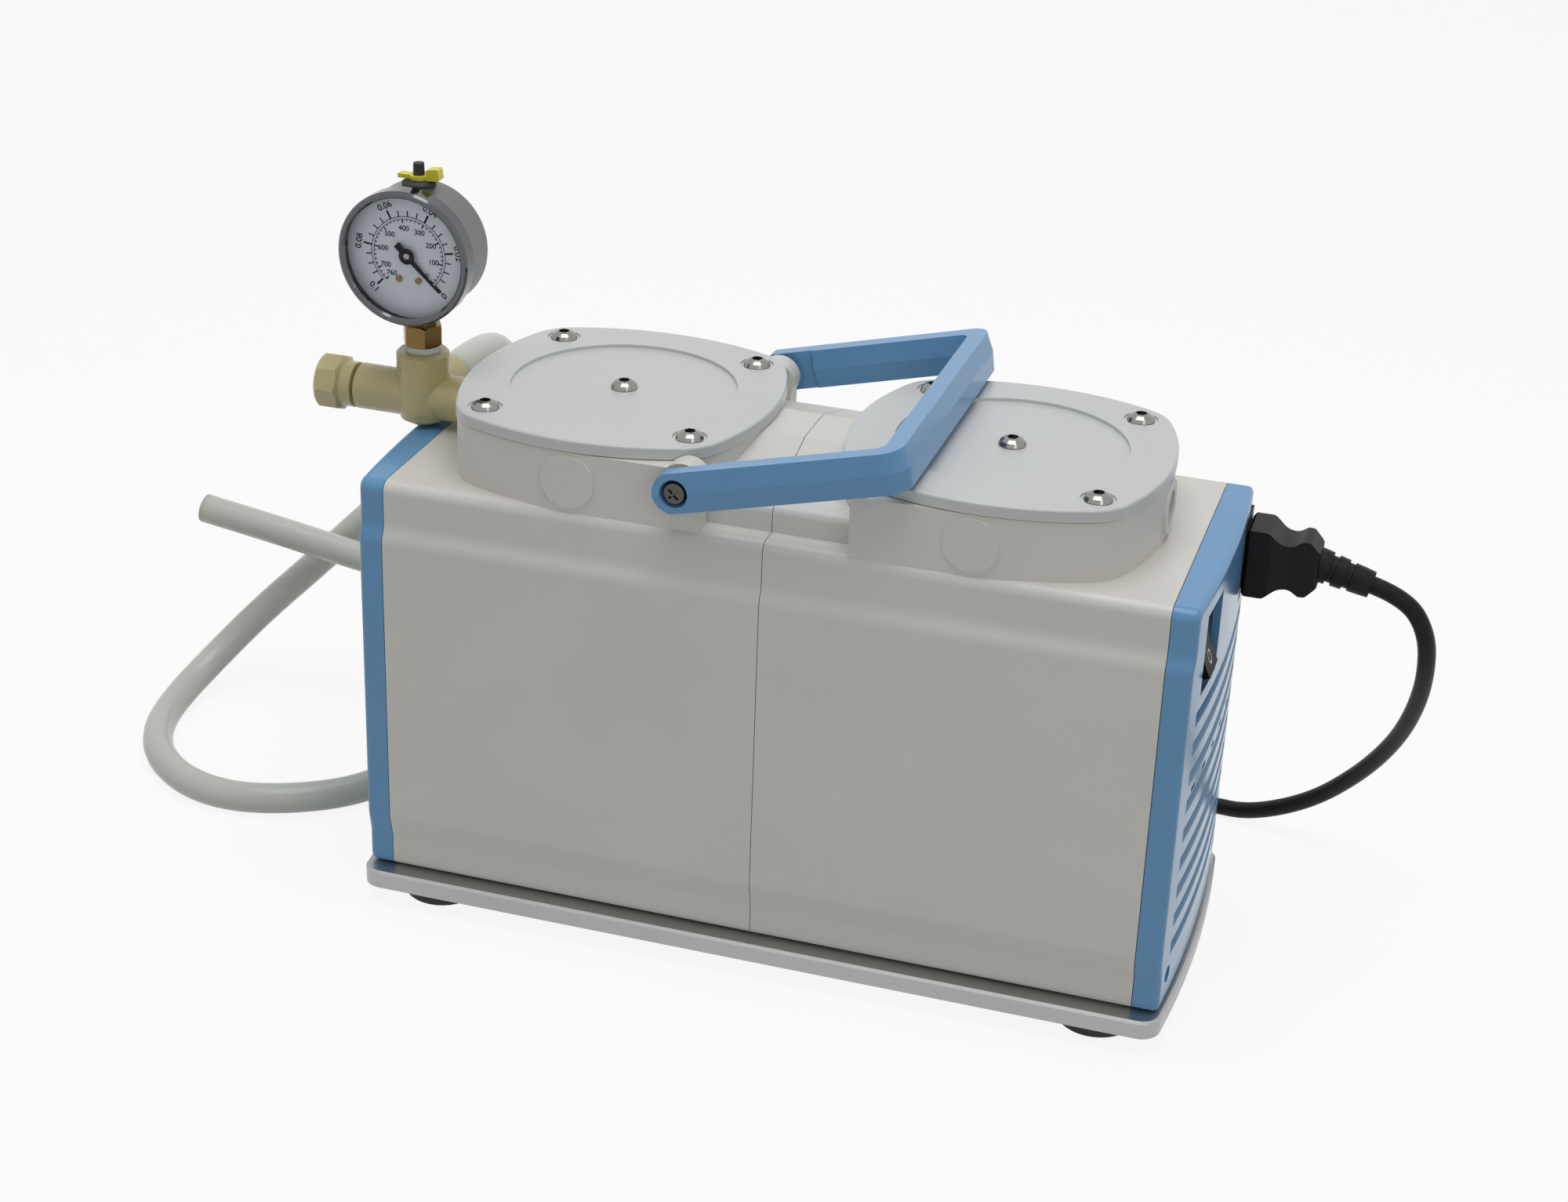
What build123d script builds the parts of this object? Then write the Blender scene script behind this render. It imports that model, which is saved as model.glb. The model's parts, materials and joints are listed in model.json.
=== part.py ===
from build123d import *
from math import atan2, cos, degrees, pi, radians, sin, sqrt, tan
import os

# Twin-head diaphragm vacuum pump: cast housing, motor, two rods, heads, gauge, hose and lead.
#
# Millimetres. +X runs towards the switch end, +Y to the back and +Z up, from a zero between the
# two castings. As written, each node is moved along X so that the origin is at the middle of the
# pump's own length, on the surface that the rubber feet stand on.

os.makedirs("parts", exist_ok=True)

# ---------------------------------------------------------------- driving dimensions
# Fits
seam = 0.3            # line between the two castings and round the end caps
slip = 0.1            # loose seat of a screw or plug in its hole
running = 0.05        # radial running fit on a shaft
soft_gap = 0.3        # clearance to rubber and between bodies that move apart

# Base
foot_radius = 15.5
foot_height = 8.0
foot_x = 135.0
foot_y = 47.0
plate_thickness = 7.3
plate_half_width = 69.1
plate_half_length = 161.0
plate_bulge = 4.0
plate_corner = 8.0
pad_thickness = 0.5
base_screw_x = 104.0
base_screw_y = 44.0

# Housing
housing_half_length = 150.0
waist_half_width = 64.5
lower_half_width = 62.2
upper_half_width = 62.1
lower_step = (13.7, 23.0)
upper_step = (143.4, 148.7)
deck_height = 166.4
wall = 4.0
top_edge_radius = 4.5
bulkhead_x = (26.0, 34.0)
bearing_wall_x = (56.0, 64.0)

# Heads
head_x = 76.5
head_half = 60.3
head_diagonal = 67.3
head_corner = 20.0
head_top = 189.6      # top of the cast head above the housing's foot
gasket = 0.4
cover_thickness = 4.6
cover_overhang = 0.5
cover_recess_radius = 43.7
cover_recess_depth = 1.3
spotface_radius = 6.6
spotface_depth = 0.8
screw_pitch = 40.6    # half the square of the cover screws
pad_radius = 10.4
pad_proud = 0.8
port_drop = 11.6        # from the top of the cast head down to the ports
port_radius = 6.6     # G 1/4 port
gas_bore = 3.0
port_depth = 12.0
ear_inner_x = 31.5
ear_outer_x = 76.5      # the lug's face runs out into the middle of the head's side
ear_face = 60.3       # distance of a lug's face from the middle
ear_thickness = 14.0
bridge_half_width = 51.0
bridge_shoulder = 178.0
duct_half_width = 12.0

# Drive
axis_height = 70.0
shaft_radius = 6.0
shaft_half_length = 140.0
throw = 3.5
eccentric_radius = 12.5
eccentric_width = 12.0
rod_bearing_radius = 23.5
rod_end_radius = 29.5
stator_radius = 50.0
stator_bore = 28.0
stator_half_length = 38.0
air_gap = 0.5
main_bearing_radius = 16.0
main_bearing_width = 10.0
fan_radius = 46.0
fan_width = 15.0
fan_from_end = 3.0

# Diaphragm
diaphragm_radius = 42.0
diaphragm_thickness = 2.5
diaphragm_bore = 34.0
clamp_radius = 21.0
valve_plate_radius = 46.0
valve_plate_thickness = 11.6

# Handle
pivot_x = -32.0
pivot_z = 183.7
handle_reach = 83.6
handle_tilt = 14.2
handle_outer = 70.0
handle_thickness = 8.6
handle_bar = 9.4
handle_depth = 15.6
handle_end_radius = 8.3
bush_radius = 3.6
arm_step = 1.6         # the arms are thinner round their pivots
arm_step_length = 14.0

# End caps
cap_depth = 9.8
cap_bulge = 3.2
cap_wall = 3.0
cap_screw_y = 52.0
cap_screw_height = 12.0
louvre_pitch = 12.0
louvre_gap = 6.0
louvre_slope = 32.0
louvre_half_width = 51.0

# Gauge and tee
knob_x = -188.8       # inner face of the regulator's knob
knob_length = 14.6
valve_stem_radius = 2.5
tee_height = 19.0     # above the ports
tape_radius = 7.05
tape_up = 2.4         # sealing tape that shows between the tee and the hexagon
plug_stud_radius = 2.3
tee_x = -160.4
tee_radius = 9.1
stem_tube_radius = 10.45
gauge_height = 239.0
gauge_front = -17.5
bezel_radius = 26.7
bezel_depth = 7.0
case_radius = 25.3
case_back = 8.5
dial_radius = 23.4

# Hose and lead
hose_radius = 6.5
tail_radius = 7.4
hose_bore = 4.0
cord_radius = 3.5

# Switch and inlet on the right cap
switch_y = -35.0
switch_drop = 23.4      # from the deck down to the middle of the switch
rocker_tip = 9.0      # tilt of the rocker either way
inlet_y = 43.0
inlet_drop = 21.4
connector_length = 30.3
relief_length = 20.5
relief_droop = 14.0

# ---------------------------------------------------------------- derived places
foot_top = foot_height
plate_top = foot_height + plate_thickness
base = plate_top + pad_thickness          # underside of the housing
deck = base + deck_height
head_z = base + head_top
cover_z = head_z + gasket
cover_top = cover_z + cover_thickness
axis_z = base + axis_height
port_z = head_z - port_drop
gauge_z = base + gauge_height
cap_screw_z = base + cap_screw_height
switch_z = deck - switch_drop
inlet_z = deck - inlet_drop
switch_floor = housing_half_length + 7.6
inlet_floor = housing_half_length + 10.2
pivot_height = base + pivot_z
arm_face = handle_outer - handle_thickness
bush_flange = arm_face + arm_step - ear_face - 0.1
tee_top = port_z + tee_height
shelf_z = head_z - valve_plate_thickness - diaphragm_thickness
plate_seat_z = head_z - valve_plate_thickness
ceiling = deck - wall


# ---------------------------------------------------------------- small makers
def bar_x(radius, x0, x1, y=0.0, z=0.0):
    """Round bar along X."""
    return extrude(Plane(origin=(x0, y, z), z_dir=(1, 0, 0)) * Circle(radius), amount=x1 - x0)


def bar_y(radius, y0, y1, x=0.0, z=0.0):
    """Round bar along Y."""
    return extrude(Plane(origin=(x, y0, z), z_dir=(0, 1, 0)) * Circle(radius), amount=y1 - y0)


def bar_z(radius, z0, z1, x=0.0, y=0.0):
    """Round bar along Z."""
    return extrude(Plane(origin=(x, y, z0), z_dir=(0, 0, 1)) * Circle(radius), amount=z1 - z0)


def block(x0, x1, y0, y1, z0, z1):
    """Box between two corners."""
    return Pos((x0 + x1) / 2, (y0 + y1) / 2, (z0 + z1) / 2) * Box(x1 - x0, y1 - y0, z1 - z0)


def outline(points, radii):
    """Closed outline with a round at each corner."""
    return make_face(FilletPolyline(*points, radius=radii, close=True))


def slab_x(face, x0, x1):
    """Extrude a Y-Z outline along X."""
    return extrude(Plane(origin=(x0, 0, 0), x_dir=(0, 1, 0), z_dir=(1, 0, 0)) * face, amount=x1 - x0)


def slab_y(face, y0, y1):
    """Extrude an X-Z outline along Y."""
    return extrude(Plane(origin=(0, y1, 0), x_dir=(1, 0, 0), z_dir=(0, -1, 0)) * face, amount=y1 - y0)


def slab_z(face, z0, z1):
    """Extrude an X-Y outline along Z."""
    return extrude(Plane(origin=(0, 0, z0)) * face, amount=z1 - z0)


def turned(points, origin, axis, start):
    """Turn a half profile of (radius, distance along the axis) about the axis."""
    plane = Plane(origin=origin, x_dir=start, z_dir=Vector(*start).cross(Vector(*axis)))
    return revolve(plane * make_face(Polyline(*points, close=True)), axis=Axis(origin, axis))


def save(shape, name):
    """Write one node, moved so that the origin is at the middle of the pump's length."""
    left_end = knob_x - knob_length
    right_end = plate_half_length + plate_bulge
    solids = [Pos(-(left_end + right_end) / 2, 0, 0) * solid for solid in shape.solids()]
    export_step(Compound(children=solids) if len(solids) > 1 else solids[0],
                f"parts/{name}.step")


def mirror_x(shape):
    return mirror(shape, about=Plane.YZ)


# ---------------------------------------------------------------- base
def plate_outline(half_length, half_width, bulge, corner):
    """Plan outline whose ends bow outwards."""
    side = [(half_length, -half_width), (half_length, half_width)]
    bow = ThreePointArc(side[0], (half_length + bulge, 0), side[1])
    back = ThreePointArc((-half_length, half_width), (-half_length - bulge, 0),
                         (-half_length, -half_width))
    face = make_face([bow, Line(side[1], (-half_length, half_width)), back,
                      Line((-half_length, -half_width), side[0])])
    return fillet(face.vertices(), radius=corner) if corner else face


def corners(x, y):
    return [(sx * x, sy * y) for sx in (-1, 1) for sy in (-1, 1)]


def make_base_plate():
    face = plate_outline(plate_half_length, plate_half_width, plate_bulge, plate_corner)
    plate = slab_z(face, foot_top, plate_top)
    rims = plate.edges().group_by(Axis.Z)
    plate = chamfer(rims[-1], 1.0)
    for x, y in corners(base_screw_x, base_screw_y):
        plate -= bar_z(3.3, foot_top, plate_top, x, y)
        plate -= bar_z(5.4, foot_top, foot_top + 5.2, x, y)
    for x, y in corners(foot_x, foot_y):
        plate -= bar_z(2.0 + slip, foot_top, plate_top, x, y)
    return plate


def make_feet():
    """Rubber feet, narrower at the top, with a pocket for the screw head."""
    feet = []
    for x, y in corners(foot_x, foot_y):
        foot = turned([(0, 0), (foot_radius - 0.6, 0), (foot_radius, 0.6),
                       (foot_radius - 1.0, foot_height), (0, foot_height)],
                      (x, y, 0), (0, 0, 1), (1, 0, 0))
        foot -= bar_z(4.4, 0, 4.0, x, y)
        foot -= bar_z(2.0 + slip, 0, foot_height, x, y)
        feet.append(foot)
    return Compound(children=feet)


def make_base_screws():
    """Screws of the feet, and cap screws that go up through the plate into the castings."""
    head_z0 = foot_top + 0.2
    screws = [bar_z(3.8, 1.6, 4.0, x, y) + bar_z(2.0, 4.0, plate_top - 0.5, x, y)
              for x, y in corners(foot_x, foot_y)]
    for x, y in corners(base_screw_x, base_screw_y):
        screw = bar_z(5.0, head_z0, foot_top + 5.2, x, y)
        screw += bar_z(3.0, foot_top + 5.2, base + wall + 5.0, x, y)
        screw -= slab_z(Pos(x, y) * RegularPolygon(2.9, 6), head_z0, head_z0 + 3.0)
        screws.append(screw)
    return Compound(children=screws)


def make_base_pads():
    pads = [bar_z(14.0, plate_top, base, x, y) - bar_z(3.3, plate_top, base, x, y)
            for x, y in corners(base_screw_x, base_screw_y)]
    return Compound(children=pads)


# ---------------------------------------------------------------- housing
def housing_outline(inset=0.0):
    """Section of the housing: a narrow foot, a wider waist and a narrow shoulder."""
    low, mid, top = (w - inset for w in (lower_half_width, waist_half_width, upper_half_width))
    right = [(low, base + inset), (low, base + lower_step[0]), (mid, base + lower_step[1]),
             (mid, base + upper_step[0]), (top, base + upper_step[1]), (top, deck - inset)]
    left = [(-y, z) for y, z in reversed(right)]
    edge = max(top_edge_radius - inset, 0.5)
    radii = [max(3.0 - inset, 0.5), 12.0, 12.0, 8.0, 8.0, edge]
    return outline(right + left, radii + radii[::-1])


def head_outline(half, diagonal, corner, x=0.0):
    """Rounded square with bowed sides; each side arc runs tangent into the corner arcs."""
    c = (diagonal - corner) / sqrt(2)
    side = (half ** 2 - 2 * c * half + 2 * c * c - corner ** 2) / (2 * (half - c - corner))
    lean = atan2(c, c + side - half)
    def on_side(angle, turn):
        px, py = half - side + side * cos(angle), side * sin(angle)
        return (x + px * cos(turn) - py * sin(turn), px * sin(turn) + py * cos(turn))
    def on_corner(turn):
        reach = c + corner / sqrt(2)
        return (x + reach * (cos(turn) - sin(turn)), reach * (sin(turn) + cos(turn)))
    edges = []
    for quarter in range(4):
        turn = quarter * pi / 2
        edges.append(ThreePointArc(on_side(-lean, turn), on_side(0, turn), on_side(lean, turn)))
        edges.append(ThreePointArc(on_side(lean, turn), on_corner(turn),
                                   on_side(-lean, turn + pi / 2)))
    return make_face(edges)


def make_bridge(x0, x1):
    """Raised deck between the heads, with the gas duct along its crest."""
    crest = base + head_top - 0.2
    points = [(-bridge_half_width, deck - 2), (-bridge_half_width, base + bridge_shoulder - 3),
              (-bridge_half_width + 5, base + bridge_shoulder + 1), (-duct_half_width, crest),
              (duct_half_width, crest), (bridge_half_width - 5, base + bridge_shoulder + 1),
              (bridge_half_width, base + bridge_shoulder - 3), (bridge_half_width, deck - 2)]
    return slab_x(outline(points, [0, 3.5, 5, 2, 2, 5, 3.5, 0]), x0, x1)


def make_ear(side, inner_x, outer_x, radius):
    """Lug at the front or back of a head, level with the joint of the cover."""
    face = outline([(inner_x, deck - 2), (inner_x, head_z), (outer_x, head_z),
                    (outer_x, deck - 2)], [0, radius, 0, 0])
    near, far = sorted((side * ear_face, side * (ear_face - ear_thickness)))
    return slab_y(face, near, far)


def make_casting():
    """One cast half, drawn for the right side: tube, bulkheads, head and lugs."""
    x0, x1 = seam / 2, housing_half_length
    body = slab_x(housing_outline(), x0, x1)
    hollow = slab_x(housing_outline(wall), x0, x1)
    body -= hollow
    inner = housing_outline(wall - 1.0)
    ring = slab_x(inner, *bulkhead_x) - bar_x(stator_radius, *bulkhead_x, 0, axis_z)
    web = slab_x(inner, *bearing_wall_x)
    for angle in (40, 90, 140, 220, 270, 320):
        a = radians(angle)
        web -= bar_x(11.0, *bearing_wall_x, 38 * cos(a), axis_z + 38 * sin(a))
    half_hub = main_bearing_width / 2
    middle = sum(bearing_wall_x) / 2
    web += bar_x(main_bearing_radius + 6, middle - half_hub - 2, middle + half_hub + 0.5, 0, axis_z)
    web -= bar_x(main_bearing_radius, middle - half_hub, middle + half_hub + 0.5, 0, axis_z)
    web -= bar_x(shaft_radius + 3, middle - 8, middle + 8, 0, axis_z)
    body += ring + web
    for y in (-base_screw_y, base_screw_y):
        body += bar_z(7.0, base + wall - 1, base + wall + 6, base_screw_x, y)
    for y in (-cap_screw_y, cap_screw_y):
        body += bar_x(5.0, x1 - 14, x1, y, cap_screw_z) + block(
            x1 - 14, x1, min(y, y * 1.16), max(y, y * 1.16), cap_screw_z - 5, cap_screw_z + 5)
    body += slab_z(head_outline(head_half, head_diagonal, head_corner, head_x), deck - 2, head_z)
    body += make_bridge(x0, head_x - 30)
    for side in (-1, 1):
        body += make_ear(side, ear_inner_x, ear_outer_x, 4.5)
        body += bar_y(pad_radius, *sorted((side * (head_half - 5), side * (head_half + pad_proud))),
                      head_x, port_z)
    return body


def cut_head(body, x, side):
    """Bore the seats of the diaphragm and valve plate, the screw holes, the port and the duct."""
    body += bar_x(pad_radius, *sorted((x + side * (head_half - 5), x + side * (head_half + pad_proud))),
                  0, port_z)
    body -= slab_z(head_outline(head_half + 1.1, head_diagonal + 1.1, head_corner, x), head_z,
                   cover_top + 5)
    body -= bar_z(diaphragm_bore, ceiling - 1, shelf_z + 1, x, 0)
    body -= bar_z(diaphragm_radius + soft_gap, shelf_z, head_z, x, 0)
    body -= bar_z(valve_plate_radius + slip, plate_seat_z, head_z, x, 0)
    for sx, sy in corners(screw_pitch, screw_pitch):
        body -= bar_z(3.0, head_z - 15, head_z, x + sx, sy)
    outer = x + side * (head_half + pad_proud)
    body -= bar_x(port_radius, *sorted((outer, outer - side * port_depth)), 0, port_z)
    body -= block(*sorted((x + side * 45, outer - side * (port_depth - 1.5))), -2.5, 2.5,
                  port_z + 3.5, head_z)
    body -= bar_x(gas_bore, *sorted((0, x - side * 45)), 0, head_z - 5.0)
    return body


def cut_screw_holes(body, side):
    """Threaded holes for the plate's screws below and the cap's screws at the end."""
    for y in (-base_screw_y, base_screw_y):
        body -= bar_z(3.0, base, base + wall + 7, side * base_screw_x, y)
    for y in (-cap_screw_y, cap_screw_y):
        x = side * housing_half_length
        body -= bar_x(1.5, *sorted((x, x - side * 12)), y, cap_screw_z)
    return body


def make_right_housing():
    return cut_screw_holes(cut_head(make_casting(), head_x, 1), 1)


def make_left_housing():
    """Left half, whose two lugs run on to carry the handle's pivots."""
    body = mirror_x(make_casting())
    for side in (-1, 1):
        near, far = sorted((side * ear_face, side * (ear_face - 9)))
        body += bar_y(handle_end_radius, near, far, pivot_x, pivot_height)
        body += block(pivot_x - 8, pivot_x + 7, near, far, deck - 2, pivot_height)
    body = cut_screw_holes(cut_head(body, -head_x, -1), -1)
    for side in (-1, 1):
        body -= bar_y(2.4, *sorted((side * ear_face, side * (ear_face - 13))), pivot_x, pivot_height)
    return body


# ---------------------------------------------------------------- heads
def make_cover(x):
    cover = slab_z(head_outline(head_half + cover_overhang, head_diagonal + cover_overhang,
                                head_corner, x), cover_z, cover_top)
    cover = fillet(cover.edges().group_by(Axis.Z)[-1], 0.9)
    cover -= bar_z(cover_recess_radius, cover_top - cover_recess_depth, cover_top, x, 0)
    for sx, sy in corners(screw_pitch, screw_pitch):
        cover -= bar_z(spotface_radius, cover_top - spotface_depth, cover_top, x + sx, sy)
        cover -= bar_z(3.0 + slip, cover_z, cover_top, x + sx, sy)
    cover -= bar_z(3.0 + slip, cover_z, cover_top, x, 0)
    return cover


def button_screw(x, y, seat, length):
    """Button-head screw with a hexagon socket, its head standing on the seat."""
    head = turned([(0, 0), (5.25, 0), (5.25, 0.5), (4.6, 1.9), (3.3, 2.9), (2.2, 3.2), (0, 3.2)],
                  (x, y, seat), (0, 0, 1), (1, 0, 0))
    screw = head + bar_z(3.0, seat - length, seat, x, y)
    return screw - slab_z(Pos(x, y) * RegularPolygon(2.3, 6), seat + 1.1, seat + 4)


def make_cover_screws():
    screws = []
    for x in (-head_x, head_x):
        for sx, sy in corners(screw_pitch, screw_pitch):
            screws.append(button_screw(x + sx, sy, cover_top - spotface_depth, 16))
        screws.append(button_screw(x, 0, cover_top - cover_recess_depth, 6))
    return Compound(children=screws)


def make_gaskets():
    rings = []
    for x in (-head_x, head_x):
        ring = slab_z(head_outline(head_half - 1.2, head_diagonal - 1.2, head_corner, x),
                      head_z, cover_z) - bar_z(valve_plate_radius - 6, head_z, cover_z, x, 0)
        for sx, sy in corners(screw_pitch, screw_pitch):
            ring -= bar_z(3.0 + slip, head_z, cover_z, x + sx, sy)
        rings.append(ring)
    return Compound(children=rings)


def make_valve_plate(x):
    """Disc over the diaphragm: a dish below, two valve chambers above."""
    top = head_z
    plate = bar_z(valve_plate_radius, plate_seat_z, top, x, 0)
    plate -= turned([(0, 0), (33, 0), (26, 6.0), (0, 6.0)], (x, 0, plate_seat_z), (0, 0, 1), (1, 0, 0))
    for side in (-1, 1):
        cx = x + side * 20
        plate -= bar_z(13.0, top - 3.6, top, cx, 0)
        plate -= block(*sorted((cx, x + side * (valve_plate_radius + 1))), -2.5, 2.5, top - 3.6, top)
        for k in range(6):
            a = k * pi / 3
            plate -= bar_z(1.3, plate_seat_z, top, cx + 5 * cos(a), 5 * sin(a))
    plate -= bar_z(3.0 + slip, top - 5.2, top, x, 0)
    return plate


def make_reed_valves():
    discs = [bar_z(8.5, head_z - 3.6, head_z - 2.8, x + side * 20, 0)
             for x in (-head_x, head_x) for side in (-1, 1)]
    return Compound(children=discs)


def make_diaphragm(x, lift):
    """Fabric-reinforced rubber disc, drawn bowed to where its rod holds it."""
    t = diaphragm_thickness
    low = [(3.3, lift), (clamp_radius + 1, lift), (27.5, lift * 0.5), (diaphragm_bore - 1.5, 0),
           (diaphragm_radius, 0)]
    high = [(r, z + t) for r, z in reversed(low)]
    return turned(low + high, (x, 0, shelf_z), (0, 0, 1), (1, 0, 0))


def rod_top(lift):
    """Height of the diaphragm's underside at its centre."""
    return shelf_z + lift


def make_clamp_discs(x, lift):
    under, over = rod_top(lift), rod_top(lift) + diaphragm_thickness
    low = turned([(3.1, 0), (clamp_radius - 3, 0), (clamp_radius, 1.6), (clamp_radius, 3), (3.1, 3)],
                 (x, 0, under - soft_gap - 3), (0, 0, 1), (1, 0, 0))
    high = turned([(3.1, 0), (clamp_radius, 0), (clamp_radius - 1, 1.2), (3.1, 1.2)],
                  (x, 0, over + soft_gap), (0, 0, 1), (1, 0, 0))
    stud = bar_z(3.0, under - 14, over + soft_gap + 1.2, x, 0)
    cap = bar_z(5.0, over + soft_gap + 1.2, over + soft_gap + 1.9, x, 0)
    return Compound(children=[low, high, stud + cap])


def make_rod(x, lift):
    """Connecting rod: ring round the bearing, waisted shank and round top."""
    centre = axis_z + lift
    top = rod_top(lift) - soft_gap - 3
    half = eccentric_width / 2 - 1
    shank = outline([(-11, centre + 20), (-6, top - 18), (-6.5, top - 3), (6.5, top - 3),
                     (6, top - 18), (11, centre + 20)], [0, 30, 0, 0, 30, 0])
    rod = slab_x(shank, x - half, x + half)
    pocket = outline([(-6.5, centre + 34), (-3.2, top - 22), (3.2, top - 22), (6.5, centre + 34)],
                     [2, 1.5, 1.5, 2])
    rod -= slab_x(pocket, x - half, x - half + 3) + slab_x(pocket, x + half - 3, x + half)
    rod += bar_x(rod_end_radius, x - half - 1, x + half + 1, 0, centre)
    rod += turned([(0, 0), (7, 0), (13, 3.5), (13, 6), (0, 6)], (x, 0, top - 6), (0, 0, 1), (1, 0, 0))
    rod -= bar_x(rod_bearing_radius + 0.02, x - half - 2, x + half + 2, 0, centre)
    rod -= bar_z(3.0 + 0.05, top - 12, top + 1, x, 0)
    return rod


def make_ring_bearing(inner, outer, x0, x1, z):
    """Shielded ball bearing, drawn as one ring with its faces dished."""
    mid = (x1 - x0) / 2
    points = [(inner, 0), (inner + 2.6, 0), (inner + 2.8, 0.6), (outer - 2.8, 0.6), (outer - 2.6, 0),
              (outer, 0), (outer, 2 * mid), (outer - 2.6, 2 * mid), (outer - 2.8, 2 * mid - 0.6),
              (inner + 2.8, 2 * mid - 0.6), (inner + 2.6, 2 * mid), (inner, 2 * mid)]
    return turned(points, (x0, 0, z), (1, 0, 0), (0, 0, 1))


def make_rod_bearing(x, lift):
    half = eccentric_width / 2
    return make_ring_bearing(eccentric_radius + running, rod_bearing_radius, x - half, x + half,
                             axis_z + lift)


def make_eccentric(x, lift):
    """Eccentric with a collar on the inside and a balance weight on the outside."""
    half = eccentric_width / 2
    out = 1 if x > 0 else -1
    part = bar_x(eccentric_radius, x - half, x + half, 0, axis_z + lift)
    inner = x - out * half
    part += bar_x(10.5, *sorted((inner, inner - out * 4.0)), 0, axis_z)
    face = x + out * (half + 0.5)
    weight = bar_x(26.0, *sorted((face, face + out * 6)), 0, axis_z)
    keep = block(*sorted((face - out, face + out * 7)), -30, 30,
                 *sorted((axis_z + (4 if lift > 0 else -4), axis_z - (40 if lift > 0 else -40))))
    weight = (weight & keep) + bar_x(10.5, *sorted((x + out * half, face + out * 6)), 0, axis_z)
    part += weight
    return part - bar_x(shaft_radius + 0.02, x - 30, x + 30, 0, axis_z)


# ---------------------------------------------------------------- motor
def make_shaft():
    shaft = bar_x(shaft_radius, -shaft_half_length, shaft_half_length, 0, axis_z)
    ends = shaft.edges().filter_by(GeomType.CIRCLE)
    return chamfer(ends, 0.8)


def make_rotor():
    rotor = bar_x(stator_bore - air_gap, -stator_half_length, stator_half_length, 0, axis_z)
    for side in (-1, 1):
        rotor += bar_x(23.0, *sorted((side * stator_half_length, side * (stator_half_length + 6))), 0, axis_z)
    return rotor - bar_x(shaft_radius + 0.02, -60, 60, 0, axis_z)


def make_stator():
    """Lamination stack with winding slots open to the bore."""
    core = bar_x(stator_radius, -stator_half_length, stator_half_length, 0, axis_z)
    core -= bar_x(stator_bore, -stator_half_length, stator_half_length, 0, axis_z)
    slot = outline([(stator_bore - 1, -0.9), (stator_bore + 2, -0.9), (stator_bore + 4, -1.9),
                    (stator_bore + 14, -3.0), (stator_bore + 14, 3.0), (stator_bore + 4, 1.9),
                    (stator_bore + 2, 0.9), (stator_bore - 1, 0.9)], [0] * 8)
    cuts = Sketch() + [Rot(0, 0, k * 15) * slot for k in range(24)]
    lane = Plane(origin=(-stator_half_length, 0, axis_z), x_dir=(0, 1, 0), z_dir=(1, 0, 0))
    return core - extrude(lane * cuts, amount=2 * stator_half_length)


def make_windings():
    """Lacquered end turns, one bundle at each end of the stack."""
    turns = []
    for side in (-1, 1):
        x0 = side * stator_half_length
        points = [(31, 0), (45, 0), (47, 4), (46, 11), (42, 14), (34, 14), (31, 10)]
        turns.append(turned(points, (x0, 0, axis_z), (side, 0, 0), (0, 0, side)))
    return Compound(children=turns)


def make_main_bearings():
    middle = sum(bearing_wall_x) / 2
    half = main_bearing_width / 2
    rings = [make_ring_bearing(shaft_radius + running, main_bearing_radius, s * middle - half,
                               s * middle + half, axis_z) for s in (-1, 1)]
    return Compound(children=rings)


def make_fan(side):
    """Axial fan on the shaft end with seven pitched blades."""
    x1 = side * (shaft_half_length - fan_from_end)
    x0 = x1 - side * fan_width
    fan = bar_x(13.0, *sorted((x0, x1)), 0, axis_z)
    mid = (x0 + x1) / 2
    for k in range(7):
        blade = Box(1.8, 17, fan_radius - 10)
        blade = Pos(0, 0, (fan_radius + 10) / 2) * Rot(0, 0, side * 50) * blade
        fan += Pos(mid, 0, axis_z) * Rot(k * 360 / 7, 0, 0) * blade
    limit = bar_x(fan_radius, *sorted((x0, x1)), 0, axis_z)
    return (fan & limit) - bar_x(shaft_radius + 0.02, -150, 150, 0, axis_z)


# ---------------------------------------------------------------- handle
def make_handle():
    """Bail with two arms that straddle the heads; each side has a slight ridge at mid height."""
    near, far = handle_reach - handle_bar / 2, handle_reach + handle_bar / 2
    start = -handle_end_radius - 1
    plan = outline([(start, handle_outer), (far, handle_outer), (far, -handle_outer),
                    (start, -handle_outer), (start, -arm_face), (near, -arm_face),
                    (near, arm_face), (start, arm_face)], [0, 9, 9, 0, 0, 3, 3, 0])
    half = handle_depth / 2
    lean = degrees(atan2(0.9, half))
    one_half = extrude(plan, amount=half, taper=lean)
    bail = one_half + mirror(one_half, about=Plane.XY)
    end = handle_end_radius
    profile = outline([(-end, -end), (far + 1, -end), (far + 1, end), (-end, end)],
                      [end - 0.01, 0, 0, end - 0.01])
    bail &= slab_y(profile, -handle_outer - 1, handle_outer + 1)
    for s in (-1, 1):
        bail -= bar_y(5.4, *sorted((s * (handle_outer - 3.0), s * (handle_outer + 1))))
        bail -= bar_y(bush_radius + running, *sorted((s * (ear_face - 1), s * handle_outer)))
        bail -= block(-20, arm_step_length, *sorted((s * (arm_face - 2), s * (arm_face + arm_step))),
                      -12, 12)
    return Pos(pivot_x, 0, pivot_height) * Rot(0, -handle_tilt, 0) * bail




def make_handle_bushes():
    """Shouldered bushes between the lugs and the arms."""
    bushes = []
    for s in (-1, 1):
        bush = bar_y(6.5, *sorted((s * ear_face, s * (ear_face + bush_flange))), pivot_x, pivot_height)
        bush += bar_y(bush_radius, *sorted((s * ear_face, s * (handle_outer - 2.9))),
                      pivot_x, pivot_height)
        bushes.append(bush - bar_y(2.4, -80, 80, pivot_x, pivot_height))
    return Compound(children=bushes)


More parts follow.
